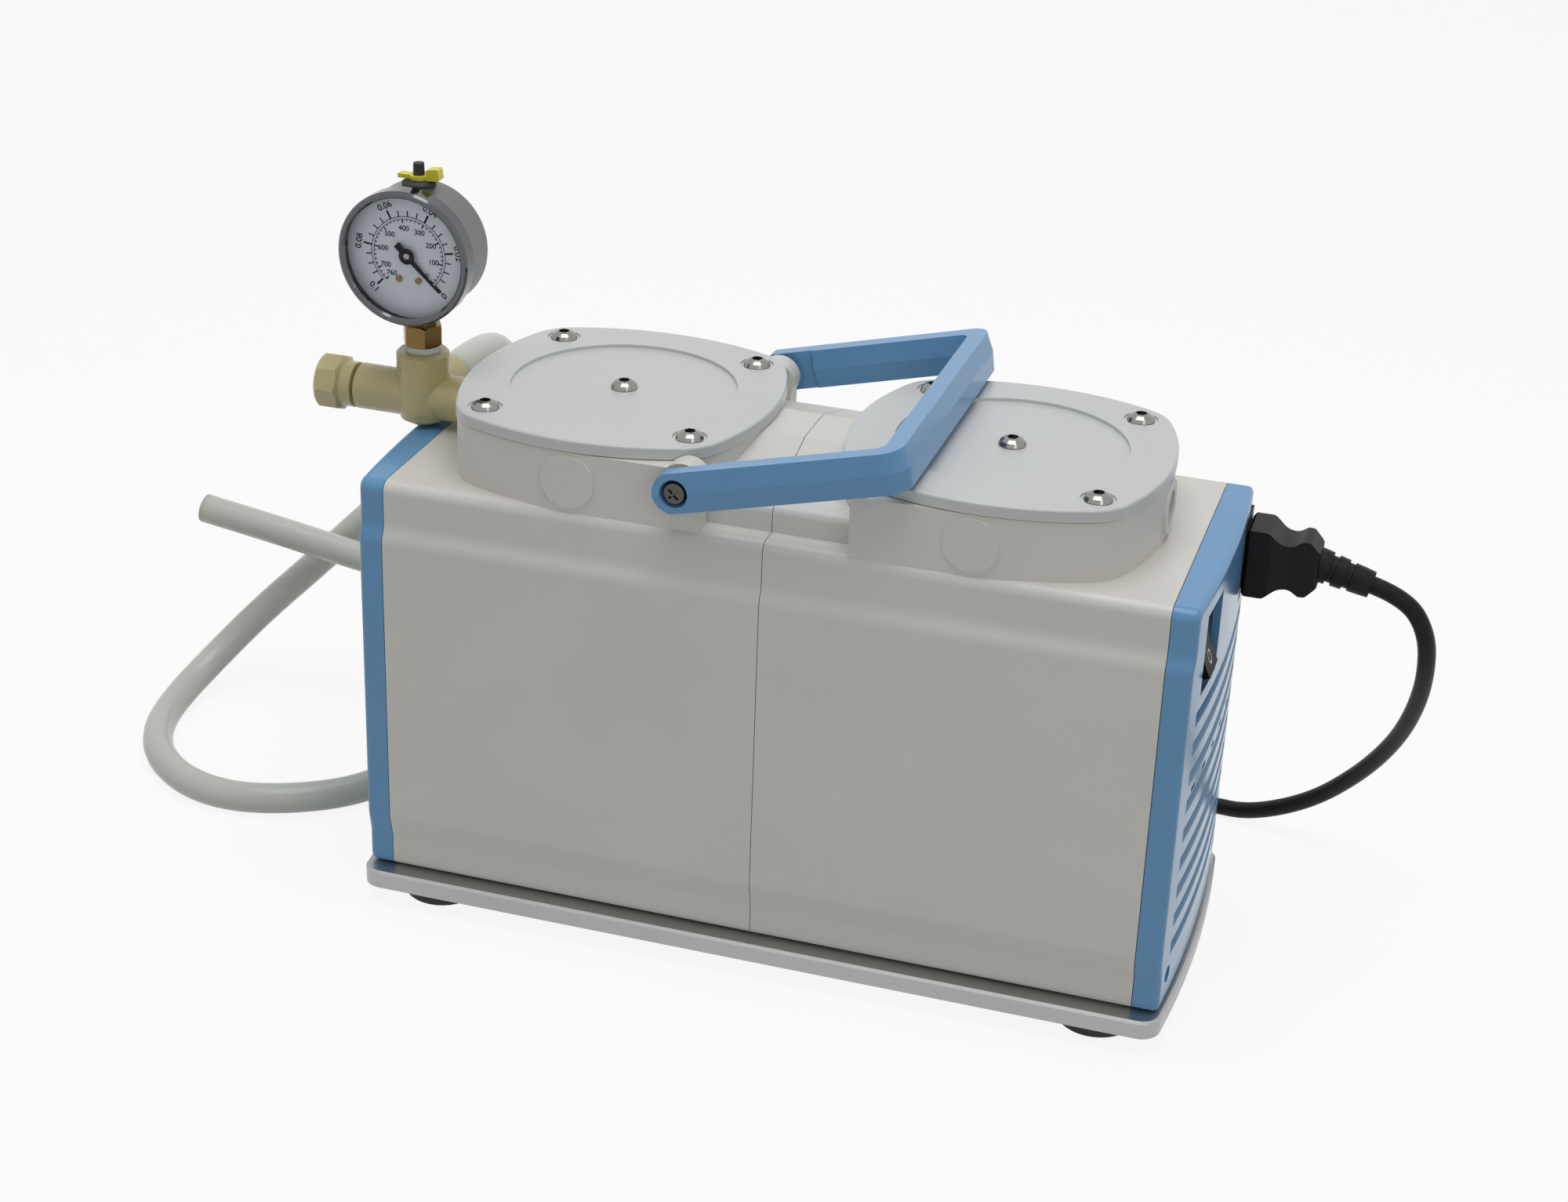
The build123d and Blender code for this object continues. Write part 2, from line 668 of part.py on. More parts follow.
def make_handle_screws():
    """Cross-recessed screws whose heads bear on the bushes."""
    screws = []
    for s in (-1, 1):
        seat = handle_outer - 2.9
        head = turned([(0, 0), (4.7, 0), (4.7, 0.9), (3.9, 2.0), (2.4, 2.6), (0, 2.8)],
                      (pivot_x, s * seat, pivot_height), (0, s, 0), (1, 0, 0))
        screw = head + bar_y(2.4, *sorted((s * (ear_face - 12), s * seat)), pivot_x, pivot_height)
        for turn in (0, 90):
            cross = Pos(pivot_x, s * (seat + 2.6), pivot_height) * Rot(0, 45 + turn, 0) * Box(0.9, 2.4, 5)
            screw -= cross
        screws.append(screw)
    return Compound(children=screws)


# ---------------------------------------------------------------- end caps
def cap_form(depth, bulge, inset, x0):
    """Solid that follows the housing's section and bows outwards in plan."""
    edge = housing_half_length + depth
    w = waist_half_width + 1
    form = slab_x(housing_outline(inset), x0, edge + bulge + 1)
    bow = ThreePointArc((edge, -w), (edge + bulge, 0), (edge, w))
    plan = make_face([bow, Line((edge, w), (x0 - 1, w)), Line((x0 - 1, w), (x0 - 1, -w)),
                      Line((x0 - 1, -w), (edge, -w))])
    return form & slab_z(plan, base - 5, deck + 5)


def louvre_cut(z):
    """One sloping air slot through the end wall."""
    edge = housing_half_length + cap_depth + cap_bulge
    run = 16.0
    drop = run * tan(radians(louvre_slope))
    face = outline([(edge + 1 - run, z + drop), (edge + 1, z), (edge + 1, z + louvre_gap),
                    (edge + 1 - run, z + drop + louvre_gap)], [0] * 4)
    return slab_y(face, -louvre_half_width, louvre_half_width)


def make_cap(rows, first):
    """End cap with a louvred wall; the wall is thick where the slats are."""
    x0 = housing_half_length + seam
    outer = cap_form(cap_depth, cap_bulge, 0.0, x0)
    rim = [e for e in outer.edges() if e.center().X > housing_half_length + cap_depth - 1.5]
    outer = fillet(rim, 2.6)
    hollow = cap_form(cap_depth - cap_wall, cap_bulge, cap_wall, x0 - 1)
    low, high = base + first, base + first + rows * louvre_pitch
    thick = block(x0 + 1, x0 + 20, -louvre_half_width - 3, louvre_half_width + 3, low - 1, high + 1)
    cap = outer - (hollow - thick)
    for row in range(rows):
        cap -= louvre_cut(low + row * louvre_pitch)
    for y in (-cap_screw_y, cap_screw_y):
        cap += bar_x(5.5, x0 + 0.5, x0 + 8, y, cap_screw_z) & outer
        cap += bar_x(4.5, housing_half_length, x0 + 1, y, cap_screw_z)
        cap -= bar_x(3.4, x0 + 3.5, x0 + 20, y, cap_screw_z)
        cap -= bar_x(1.9, x0 - 1, x0 + 20, y, cap_screw_z)
    return cap


def make_left_cap():
    return mirror_x(make_cap(11, 20.0))


def make_right_cap():
    """Right cap: louvres below, seats for the switch and the inlet above."""
    cap = make_cap(9, 18.0)
    for floor, y, z, half_y, half_z, body_y, body_z in (
            (switch_floor, switch_y, switch_z, 12.5, 16.0, 10.1, 13.6),
            (inlet_floor, inlet_y, inlet_z, 12.6, 16.0, 10.1, 13.6)):
        cap += block(floor - 3, floor, y - half_y - 2, y + half_y + 2, z - half_z - 2, z + half_z + 1)
        cap -= block(floor, floor + 12, y - half_y, y + half_y, z - half_z, z + half_z)
        cap -= block(floor - 8, floor + 1, y - body_y, y + body_y, z - body_z, z + body_z)
    for k in range(5):
        y = -42 + 18 * k
        cap -= block(housing_half_length + 8, housing_half_length + 20, y - 3, y + 3,
                     base + 86, base + 88.2)
    return cap


def make_cap_screws():
    screws = []
    for side in (-1, 1):
        for y in (-cap_screw_y, cap_screw_y):
            seat = side * (housing_half_length + seam + 3.5)
            head = bar_x(3.1, *sorted((seat, seat + side * 2.2)), y, cap_screw_z)
            shank = bar_x(1.5, *sorted((seat, seat - side * 13)), y, cap_screw_z)
            screws.append(head + shank)
    return Compound(children=screws)


# ---------------------------------------------------------------- switch and inlet
def make_switch_frame():
    """Switch body with a thin front frame."""
    x, y, z = switch_floor, switch_y, switch_z
    frame = block(x, x + 2.0, y - 11.8, y + 11.8, z - 15.2, z + 15.2)
    frame += block(x - 20, x, y - 10, y + 10, z - 13.5, z + 13.5)
    frame -= block(x - 9, x + 5, y - 8.8, y + 8.8, z - 12.6, z + 12.6)
    pin = bar_y(1.5, y - 8.8, y + 8.8, x - 1, z)
    return Compound(children=[frame, pin])


def make_rocker():
    """Concave rocker, drawn tipped with its upper end pressed in."""
    face = make_face([Line((-5, -9), (0.5, -11.9)), Line((0.5, -11.9), (5.4, -11.4)),
                      ThreePointArc((5.4, -11.4), (3.4, 0), (5.4, 11.4)),
                      Line((5.4, 11.4), (0.5, 11.9)), Line((0.5, 11.9), (-5, 9)),
                      Line((-5, 9), (-5, -9))])
    rocker = slab_y(face, -8.3, 8.3) - bar_y(1.5 + running, -9, 9)
    return Pos(switch_floor - 1, switch_y, switch_z) * Rot(0, -rocker_tip, 0) * rocker


blade_places = ((1.2, -7.0), (-2.8, 0.0), (1.2, 7.0))


def make_inlet():
    """Appliance inlet on its side, with three blades."""
    x, y, z = inlet_floor, inlet_y, inlet_z
    body = block(x, x + 1.6, y - 11.9, y + 11.9, z - 15.4, z + 15.4)
    body += block(x - 22, x, y - 10, y + 10, z - 13.5, z + 13.5)
    body -= block(x - 18, x + 3, y - 8.6, y + 8.6, z - 12.4, z + 12.4)
    blades = []
    for dy, dz in blade_places:
        body -= block(x - 24, x - 2, y + dy - 2, y + dy + 2, z + dz - 1, z + dz + 1)
        blades.append(block(x - 24, x - 2, y + dy - 2, y + dy + 2, z + dz - 1, z + dz + 1))
    return Compound(children=[body] + blades)


def make_connector():
    """Moulded cord connector: a nose in the inlet and a waisted grip outside."""
    x, y, z = inlet_floor, inlet_y, inlet_z
    nose = block(x - 16, x + 4, y - 8.1, y + 8.1, z - 11.9, z + 11.9)
    nose = fillet(nose.edges().filter_by(Axis.X), 2.0)
    upper = [(2.2, 12.6), (3.4, 13.7), (10.4, 13.7), (15.6, 9.2), (20.0, 8.8), (23.6, 11.4),
             (26.2, 11.4), (connector_length, 7.0)]
    points = [(x + a, z + b) for a, b in upper] + [(x + a, z - b) for a, b in reversed(upper)]
    bends = [0.4, 0.6, 3.0, 6.0, 5.0, 1.4, 1.4, 1.0]
    grip = slab_y(outline(points, bends + bends[::-1]), y - 9.4, y + 9.4)
    plan = [(2.2, 9.4), (12.0, 9.4), (19.0, 8.0), (connector_length, 7.0)]
    plan = [(x + a, y + b) for a, b in plan] + [(x + a, y - b) for a, b in reversed(plan)]
    grip &= slab_z(outline(plan, [1.5, 4, 6, 1.5, 1.5, 6, 4, 1.5]), z - 15, z + 15)
    part = nose + grip
    for dy, dz in blade_places:
        part -= block(x - 17, x - 1.5, y + dy - 2.2, y + dy + 2.2, z + dz - 1.2, z + dz + 1.2)
    return part


def make_strain_relief():
    """Ribbed, tapered sleeve behind the connector."""
    end = relief_length
    points = [(0, 0), (6.7, 0), (6.5, 3.4), (5.3, 3.6), (5.3, 5.6), (6.2, 5.8), (6.0, 10.0),
              (5.0, 10.2), (5.0, 12.2), (5.7, 12.4), (5.5, 17.0), (5.2, end), (0, end)]
    sleeve = turned(points, (0, 0, 0), (1, 0, 0), (0, 0, 1))
    keep = Pos(0, 0, 0) * block(0, 40, -20, 20, -20, 20)
    at = Pos(inlet_floor + connector_length, inlet_y, inlet_z)
    return at * ((Rot(0, relief_droop, 0) * Pos(-1, 0, 0) * extend_sleeve(sleeve)) & keep)


def extend_sleeve(sleeve):
    """Root of the sleeve, so that its tilted end still meets the connector."""
    return Pos(1, 0, 0) * (sleeve + bar_x(6.7, -1.5, 0.5))


# ---------------------------------------------------------------- hoses and cords
def direction(a, b):
    d = [q - p for p, q in zip(a, b)]
    n = sqrt(sum(v * v for v in d))
    return [v / n for v in d], n


def bend_radii(points):
    """Bend at each inner corner: as wide as the shorter of its two runs allows."""
    radii = []
    for a, b, c in zip(points, points[1:], points[2:]):
        (u, m), (v, n) = direction(a, b), direction(b, c)
        turn = 2 * atan2(sqrt(sum((p - q) ** 2 for p, q in zip(u, v))),
                         sqrt(sum((p + q) ** 2 for p, q in zip(u, v))))
        radii.append(0.45 * min(m, n) / tan(turn / 2))
    return radii


def make_tube(points, outer, inner=0.0):
    """Tube of straight runs joined by tangent arcs."""
    path = FilletPolyline(*points, radius=bend_radii(points))
    start, _ = direction(points[0], points[1])
    plane = Plane(origin=points[0], z_dir=start)
    ring = plane * (Circle(outer) - Circle(inner)) if inner else plane * Circle(outer)
    return sweep(ring, path=path)


def extend(point, run, angle, turn=0.0):
    """Point that lies a run further on, at an angle below the horizontal and turned off X."""
    a, b = radians(angle), radians(turn)
    return (point[0] + run * cos(a) * cos(b), point[1] + run * cos(a) * sin(b),
            point[2] - run * sin(a))


relief_end = extend((inlet_floor + connector_length, inlet_y, inlet_z), relief_length, relief_droop)
cord_start = extend(relief_end, 14.0, relief_droop)
floor_cord = cord_radius
coil_centre = (66.0, 132.0)
coil_turns = ((31.6, 0), (38.5, 0), (45.4, 0), (35.05, 6.0), (41.95, 6.0))
coil_rim = 48.9
cord_route = [
    relief_end, cord_start, (233.4, 44.5, 138.5), (235.0, 53.0, 117.0), (232.0, 70.0, 92.0),
    (225.0, 88.0, 67.0), (212.0, 104.0, 42.0), (193.0, 116.0, 19.0), (168.0, 122.0, 5.0),
    (140.0, 125.0, floor_cord), (coil_centre[0] + coil_rim - 1, 131.0, floor_cord)]
plug_back = (-30.0, 132.0, 12.0)
tail_route = [
    (coil_centre[0] - coil_rim + 1, 132.0, floor_cord), (5.0, 133.0, floor_cord),
    (-6.0, 132.5, 6.0), (-17.0, 132.0, 11.0), plug_back]


def make_power_cord():
    return make_tube(cord_route, cord_radius)


def make_cord_tail():
    return make_tube(tail_route, cord_radius)


def make_cord_coil():
    """Five turns laid in two layers."""
    strands = Sketch() + [Pos(r, z) * Circle(cord_radius + 0.05) for r, z in coil_turns]
    plane = Plane(origin=(*coil_centre, cord_radius + 0.05), x_dir=(1, 0, 0), z_dir=(0, -1, 0))
    return revolve(plane * strands, axis=Axis((*coil_centre, cord_radius), (0, 0, 1)))


def make_mains_plug():
    """Three-pin plug with a flattened round body, lying on its flat side."""
    x, y, z = plug_back
    points = [(0, 0), (6, 0), (7, 5), (13, 12), (17.5, 18), (18, 24), (18, 36), (17, 37), (0, 37)]
    body = turned(points, plug_back, (-1, 0, 0), (0, 0, 1))
    body &= block(x - 60, x + 5, y - 30, y + 30, z - 12, z + 12)
    for side in (-1, 1):
        body += block(x - 53, x - 36, y + side * 6.35 - 0.8, y + side * 6.35 + 0.8, z - 3, z + 3)
    return body + bar_x(2.4, x - 56, x - 36, y, z + 8.5 - 1)


hose_route = [
    (tee_x, 27.0, port_z), (tee_x, 57.0, port_z), (-162.0, 86.0, 183.0), (-172.0, 106.0, 157.0),
    (-192.0, 113.0, 130.0), (-215.0, 111.0, 107.0), (-238.0, 105.0, 84.0), (-263.0, 101.5, 58.0),
    (-287.0, 95.0, 34.0), (-303.0, 78.0, 15.0), (-308.0, 51.0, 7.0), (-303.0, 23.0, hose_radius),
    (-290.0, 0.0, hose_radius), (-268.0, -17.0, hose_radius), (-243.0, -22.0, hose_radius),
    (-218.0, -14.0, hose_radius), (-196.0, 2.0, hose_radius), (-181.0, 25.0, 9.0),
    (-174.0, 51.0, 21.0), (-176.0, 72.0, 41.0), (-189.0, 83.0, 60.0), (-212.0, 88.0, 70.5),
    (-243.0, 88.5, 74.5), (-276.0, 88.0, 80.0), (-309.0, 88.0, 84.7)]


def make_intake_hose():
    return make_tube(hose_route, hose_radius, hose_bore)


# ---------------------------------------------------------------- tee, regulator and gauge
def make_tee():
    """Moulded cross: nipple into the head, gauge socket above, regulator to the left, hose tail."""
    body = turned([(0, -11.3), (5.5, -11.0), (9.3, -8.8), (stem_tube_radius, -5.0),
                   (stem_tube_radius, tee_height - 1.2), (stem_tube_radius - 1.2, tee_height),
                   (0, tee_height)], (tee_x, 0, port_z), (0, 0, 1), (1, 0, 0))
    face = -head_x - head_half - pad_proud
    body += bar_x(tee_radius, knob_x + 1.8, face, 0, port_z)
    body += bar_x(port_radius - slip, face - 1, face + port_depth - 1, 0, port_z)
    body += bar_x(6.0, knob_x - 5, knob_x + 3, 0, port_z)
    body += bar_y(tail_radius, 0, hose_route[0][1], tee_x, port_z)
    barb = turned([(0, 26), (3.5, 26), (3.5, 31), (3.95, 31.5), (3.6, 35), (3.95, 35.5), (3.6, 39),
                   (3.95, 39.5), (3.2, 44), (0, 44)], (tee_x, 0, port_z), (0, 1, 0), (1, 0, 0))
    body += barb
    body -= bar_z(tape_radius + running, port_z + tee_height - 3.2, tee_top + 1, tee_x, 0)
    body -= bar_z(port_radius, tee_top - 12.5, tee_top + 1, tee_x, 0)
    body -= bar_z(gas_bore, port_z, tee_top - 7, tee_x, 0)
    body -= bar_x(gas_bore, tee_x - 10, face + port_depth, 0, port_z)
    body -= bar_x(valve_stem_radius + 0.1, knob_x - 6, tee_x, 0, port_z)
    return body - bar_y(2.2, 0, 45, tee_x, port_z)


def make_knob():
    """Knob with a flange of eight flats and a round collar."""
    x0, x1 = knob_x - knob_length, knob_x
    flats = Plane(origin=(x0, 0, port_z), x_dir=(0, 1, 0), z_dir=(1, 0, 0)) * RegularPolygon(11.4, 8)
    knob = extrude(flats, amount=knob_length)
    flange = knob_length - 4.6
    trim = turned([(0, 0), (10.2, 0), (11.3, 1.2), (11.3, flange - 1.4), (9.0, flange), (9.0, knob_length),
                   (0, knob_length)], (x0, 0, port_z), (1, 0, 0), (0, 0, 1))
    knob = (knob & trim) - bar_x(6.0 + soft_gap, x1 - 5.6, x1 + 1, 0, port_z)
    return knob - bar_x(valve_stem_radius + running, x1 - 12.5, x1, 0, port_z)


def make_valve_stem():
    """Bleed screw: it carries the knob and closes on its seat with a cone."""
    points = [(0, -12.0), (valve_stem_radius, -12.0), (valve_stem_radius, 15), (0.6, 18), (0, 18)]
    return turned(points, (knob_x, 0, port_z), (1, 0, 0), (0, 0, 1))


def make_gauge_stem():
    """Brass connection: thread in the tee, hexagon and neck up to the case."""
    z0 = tee_top + tape_up
    stem = bar_z(port_radius - slip, tee_top - 12, z0 + 1, tee_x, 0)
    hexagon = slab_z(Pos(tee_x, 0) * RegularPolygon(14 / sqrt(3), 6), z0, z0 + 8.6)
    trim = turned([(0, 0), (7.2, 0), (8.2, 0.8), (8.2, 7.8), (7.2, 8.6), (0, 8.6)],
                  (tee_x, 0, z0), (0, 0, 1), (1, 0, 0))
    stem += (hexagon & trim) + bar_z(5.5, z0 + 8, gauge_z - case_radius + 2, tee_x, 0)
    stem -= bar_y(case_radius, -20, 20, tee_x, gauge_z)
    return stem - bar_z(2.0, tee_top - 12, gauge_z, tee_x, 0)


def make_seal_tape():
    z0, z1 = tee_top - 2.8, tee_top + tape_up
    return bar_z(tape_radius, z0, z1, tee_x, 0) - bar_z(port_radius - slip, z0, z1, tee_x, 0)


def gauge_turned(points):
    """Turn a profile of (radius, y) about the gauge's axis."""
    return turned(points, (tee_x, 0, gauge_z), (0, 1, 0), (1, 0, 0))


bezel_back = gauge_front + bezel_depth
glass_front = gauge_front + 1.5
dial_front = bezel_back - 0.6


def make_gauge_case():
    r, b = case_radius, case_back
    case = gauge_turned([(0, b), (r - 2.5, b), (r - 0.7, b - 0.7), (r, b - 2.5), (r, bezel_back),
                         (r - 1, bezel_back), (r - 1, b - 2.6), (r - 2.6, b - 1), (0, b - 1)])
    case -= bar_z(3.0, gauge_z, gauge_z + r + 2, tee_x, 0)
    return case


def make_bezel():
    r, f = bezel_radius, gauge_front
    lip = case_radius - 1.5
    return gauge_turned([(lip, f + 0.7), (lip + 0.7, f), (r - 0.8, f), (r, f + 0.8),
                         (r, bezel_back + 0.2), (r - 0.5, bezel_back + 0.7),
                         (case_radius + slip, bezel_back + 0.7), (case_radius + slip, glass_front),
                         (lip, glass_front)])


def make_glass():
    return gauge_turned([(0, glass_front), (case_radius, glass_front), (case_radius, glass_front + 1.6),
                         (0, glass_front + 1.6)])


def make_dial():
    dial = gauge_turned([(1.2, dial_front), (case_radius, dial_front), (case_radius, bezel_back),
                         (1.2, bezel_back)])
    return dial


def make_needle():
    """Pointer at zero, low on the right, with its spindle."""
    pointer = outline([(-6, -1.4), (0, -1.1), (18.6, -0.25), (18.6, 0.25), (0, 1.1), (-6, 1.4)],
                      [0] * 6)
    y0, y1 = dial_front - 1.7, dial_front - 1.2
    arm = slab_y(pointer, y0, y1)
    arm = Pos(tee_x, 0, gauge_z) * Rot(0, 45, 0) * arm
    return arm + bar_y(2.4, y0 - 0.2, y1 + 0.3, tee_x, gauge_z) + bar_y(0.8, y1, 0, tee_x, gauge_z)


def make_movement():
    """Curved pressure tube on its socket, the plate of the movement and the dial's screws."""
    plane = Plane(origin=(tee_x + 15, 0, gauge_z), x_dir=(1, 0, 0), z_dir=(0, 0, 1))
    tube = revolve(plane * Ellipse(1.2, 3.0), axis=Axis((tee_x, 0, gauge_z), (0, -1, 0)),
                   revolution_arc=225)
    tube = Pos(tee_x, 0, gauge_z) * Rot(0, 80, 0) * Pos(-tee_x, 0, -gauge_z) * tube
    socket = block(tee_x - 4.5, tee_x + 4.5, -3.5, 3.5, gauge_z - case_radius, gauge_z - 13.5)
    socket &= bar_y(case_radius - 1, -5, 5, tee_x, gauge_z)
    plate = block(tee_x - 5, tee_x + 5, 2.0, 3.5, gauge_z - 15, gauge_z + 5)
    screws = [bar_y(1.3, dial_front - 0.6, dial_front, tee_x + dx, gauge_z - 9.8) for dx in (-4, 4)]
    return Compound(children=[tube + socket + plate] + screws)


def make_gauge_plug():
    """Rubber plug in the filling hole on top of the case: a flange below and a stud above."""
    z0 = gauge_z + case_radius
    plug = turned([(0, -3), (6.6, -3), (6.6, 0.6), (5.2, 1.6), (plug_stud_radius, 1.8),
                   (plug_stud_radius - 0.2, 8.0), (0, 8.0)], (tee_x, 0, z0), (0, 0, 1), (1, 0, 0))
    plug -= bar_y(case_radius, -20, 20, tee_x, gauge_z)
    return plug + bar_z(2.9, z0 - 3, z0 + 0.5, tee_x, 0)


def make_plug_tab():
    """Yellow tab threaded on the plug's stud, with one wing turned up."""
    z0 = gauge_z + case_radius + 1.8
    tab = block(tee_x - 8.0, tee_x + 6.0, -1.9, 1.9, z0, z0 + 1.6)
    tab += bar_z(3.6, z0, z0 + 1.6, tee_x, 0)
    wing = outline([(4.0, 0), (9.4, 0.4), (8.6, 5.0), (3.6, 4.2)], [0.4, 0.8, 0.8, 0.8])
    tab += slab_y(Pos(tee_x, z0) * wing, -2.3, 2.3)
    return tab - bar_z(plug_stud_radius, z0 - 1, z0 + 6, tee_x, 0)


# ---------------------------------------------------------------- inside the housing
def make_capacitor():
    """Run capacitor with the moulded saddle that stands it on the motor's stack."""
    can = bar_x(15.5, -23, 21, 0, base + 141)
    can = fillet(can.edges().filter_by(GeomType.CIRCLE).sort_by(Axis.X)[:1], 2.0)
    terminals = [block(21, 24.5, y - 3, y + 3, base + 140.6, base + 141.4) for y in (-6, 6)]
    saddle = block(-14, 14, -11, 11, base + 118, base + 132) - bar_x(stator_radius, -20, 20, 0, axis_z)
    return can + saddle + terminals[0] + terminals[1]


# ---------------------------------------------------------------- build
left_lift, right_lift = throw, -throw
nodes = {
    "base_plate": make_base_plate,
    "rubber_feet": make_feet,
    "base_screws": make_base_screws,
    "base_pads": make_base_pads,
    "left_housing": make_left_housing,
    "right_housing": make_right_housing,
    "left_end_cap": make_left_cap,
    "right_end_cap": make_right_cap,
    "cap_screws": make_cap_screws,
    "left_head_cover": lambda: make_cover(-head_x),
    "right_head_cover": lambda: make_cover(head_x),
    "cover_screws": make_cover_screws,
    "head_gaskets": make_gaskets,
    "left_valve_plate": lambda: make_valve_plate(-head_x),
    "right_valve_plate": lambda: make_valve_plate(head_x),
    "reed_valves": make_reed_valves,
    "left_diaphragm": lambda: make_diaphragm(-head_x, left_lift),
    "right_diaphragm": lambda: make_diaphragm(head_x, right_lift),
    "left_clamp_discs": lambda: make_clamp_discs(-head_x, left_lift),
    "right_clamp_discs": lambda: make_clamp_discs(head_x, right_lift),
    "left_rod": lambda: make_rod(-head_x, left_lift),
    "right_rod": lambda: make_rod(head_x, right_lift),
    "left_rod_bearing": lambda: make_rod_bearing(-head_x, left_lift),
    "right_rod_bearing": lambda: make_rod_bearing(head_x, right_lift),
    "crankshaft": make_shaft,
    "left_eccentric": lambda: make_eccentric(-head_x, left_lift),
    "right_eccentric": lambda: make_eccentric(head_x, right_lift),
    "rotor": make_rotor,
    "left_fan": lambda: make_fan(-1),
    "right_fan": lambda: make_fan(1),
    "main_bearings": make_main_bearings,
    "stator_core": make_stator,
    "windings": make_windings,
    "capacitor": make_capacitor,
    "handle": make_handle,
    "handle_bushes": make_handle_bushes,
    "handle_screws": make_handle_screws,
    "switch_frame": make_switch_frame,
    "rocker": make_rocker,
    "power_inlet": make_inlet,
    "cord_connector": make_connector,
    "strain_relief": make_strain_relief,
    "power_cord": make_power_cord,
    "cord_coil": make_cord_coil,
    "cord_tail": make_cord_tail,
    "mains_plug": make_mains_plug,
    "intake_tee": make_tee,
    "regulator_knob": make_knob,
    "bleed_screw": make_valve_stem,
    "gauge_stem": make_gauge_stem,
    "seal_tape": make_seal_tape,
    "gauge_case": make_gauge_case,
    "gauge_bezel": make_bezel,
    "gauge_glass": make_glass,
    "gauge_dial": make_dial,
    "gauge_needle": make_needle,
    "gauge_movement": make_movement,
    "gauge_plug": make_gauge_plug,
    "plug_tab": make_plug_tab,
    "intake_hose": make_intake_hose,
}

for name, maker in nodes.items():
    save(maker(), name)

for name, route in (("lead", cord_route), ("tail", tail_route), ("hose", hose_route)):
    print(name, "radii", [round(r, 1) for r in bend_radii(route)])
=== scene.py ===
# %% [markdown]
# # A diaphragm vacuum pump, dressed in Blender
# The pump comes from CAD as sixty exact solids, already in place and in metres. Blender
# doesn't redraw them. It gives every surface the finish of the real one, and makes what CAD
# is poor at: the soft hose, the mains lead and the printing on the gauge's dial.

# %% Load the frame
import bpy
import json
import math
import numpy as np
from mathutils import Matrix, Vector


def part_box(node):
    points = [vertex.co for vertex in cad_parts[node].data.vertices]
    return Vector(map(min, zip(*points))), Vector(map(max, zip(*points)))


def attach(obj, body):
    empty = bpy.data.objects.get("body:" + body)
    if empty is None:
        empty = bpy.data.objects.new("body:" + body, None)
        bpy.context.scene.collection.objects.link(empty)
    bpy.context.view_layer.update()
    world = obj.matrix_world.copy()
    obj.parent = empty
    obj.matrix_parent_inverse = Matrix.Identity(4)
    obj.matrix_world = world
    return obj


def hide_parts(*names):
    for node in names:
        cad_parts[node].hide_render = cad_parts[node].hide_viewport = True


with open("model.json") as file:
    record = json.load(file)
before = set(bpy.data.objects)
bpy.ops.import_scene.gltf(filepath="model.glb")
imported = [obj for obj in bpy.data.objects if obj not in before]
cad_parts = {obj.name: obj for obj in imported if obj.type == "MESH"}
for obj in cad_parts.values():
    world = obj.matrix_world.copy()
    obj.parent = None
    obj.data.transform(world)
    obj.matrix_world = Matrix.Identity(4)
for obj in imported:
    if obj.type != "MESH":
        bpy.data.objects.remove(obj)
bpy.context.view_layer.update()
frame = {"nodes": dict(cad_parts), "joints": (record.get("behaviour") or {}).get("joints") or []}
nodes = frame["nodes"]

# %% [markdown]
# ## The camera
# The pump is seen from the front left, from a little above. A camera is placed by its matrix:
# three columns say where its right, its up and its back point, and the fourth is its place.
# A 64 mm lens gives the mild perspective of a product shot taken from about a metre.

# %% Camera
from mathutils import Matrix

camera_right = (0.9543, 0.2967, 0.0343)
camera_up = (-0.1577, 0.4030, 0.9015)
camera_back = (0.2537, -0.8657, 0.4314)
camera_place = (0.287685, -0.947995, 0.602202)
lens_data = bpy.data.cameras.new("camera")
lens_data.lens, lens_data.sensor_width = 64.364, 36.0
lens_data.clip_start, lens_data.clip_end = 0.05, 30.0  # metres
camera = bpy.data.objects.new("camera", lens_data)
camera_rows = [[*row] for row in zip(camera_right, camera_up, camera_back, camera_place)]
camera.matrix_world = Matrix(camera_rows + [[0, 0, 0, 1]])
bpy.context.scene.collection.objects.link(camera)
bpy.context.scene.camera = camera
print("camera at", camera_place, "lens", lens_data.lens)

# %% [markdown]
# ## One function for colour and one for nodes
# Colours are picked as sRGB hex values, as a paint chart gives them. Shaders work in linear
# light, so each hex value goes through the sRGB curve once. A node tree gets long when each
# node takes four lines, so one small function adds a node, sets it up and links it.

# %% Colour and node helpers
def linear(hex_colour):
    """sRGB hex to linear RGBA: c/12.92 below 0.04045, else ((c + 0.055)/1.055)^2.4."""
    c = np.array([int(hex_colour[i:i + 2], 16) for i in (1, 3, 5)]) / 255
    return (*np.where(c <= 0.04045, c / 12.92, ((c + 0.055) / 1.055) ** 2.4).tolist(), 1.0)


def add(tree, kind, inputs=None, **settings):
    """Adds a node; inputs maps a socket's name or number to a value or to a node's output."""
    node = tree.nodes.new(kind)
    for name, value in settings.items():
        setattr(node, name, value)
    for key, value in (inputs or {}).items():
        if isinstance(value, bpy.types.NodeSocket):
            tree.links.new(value, node.inputs[key])
        else:
            node.inputs[key].default_value = value
    return node


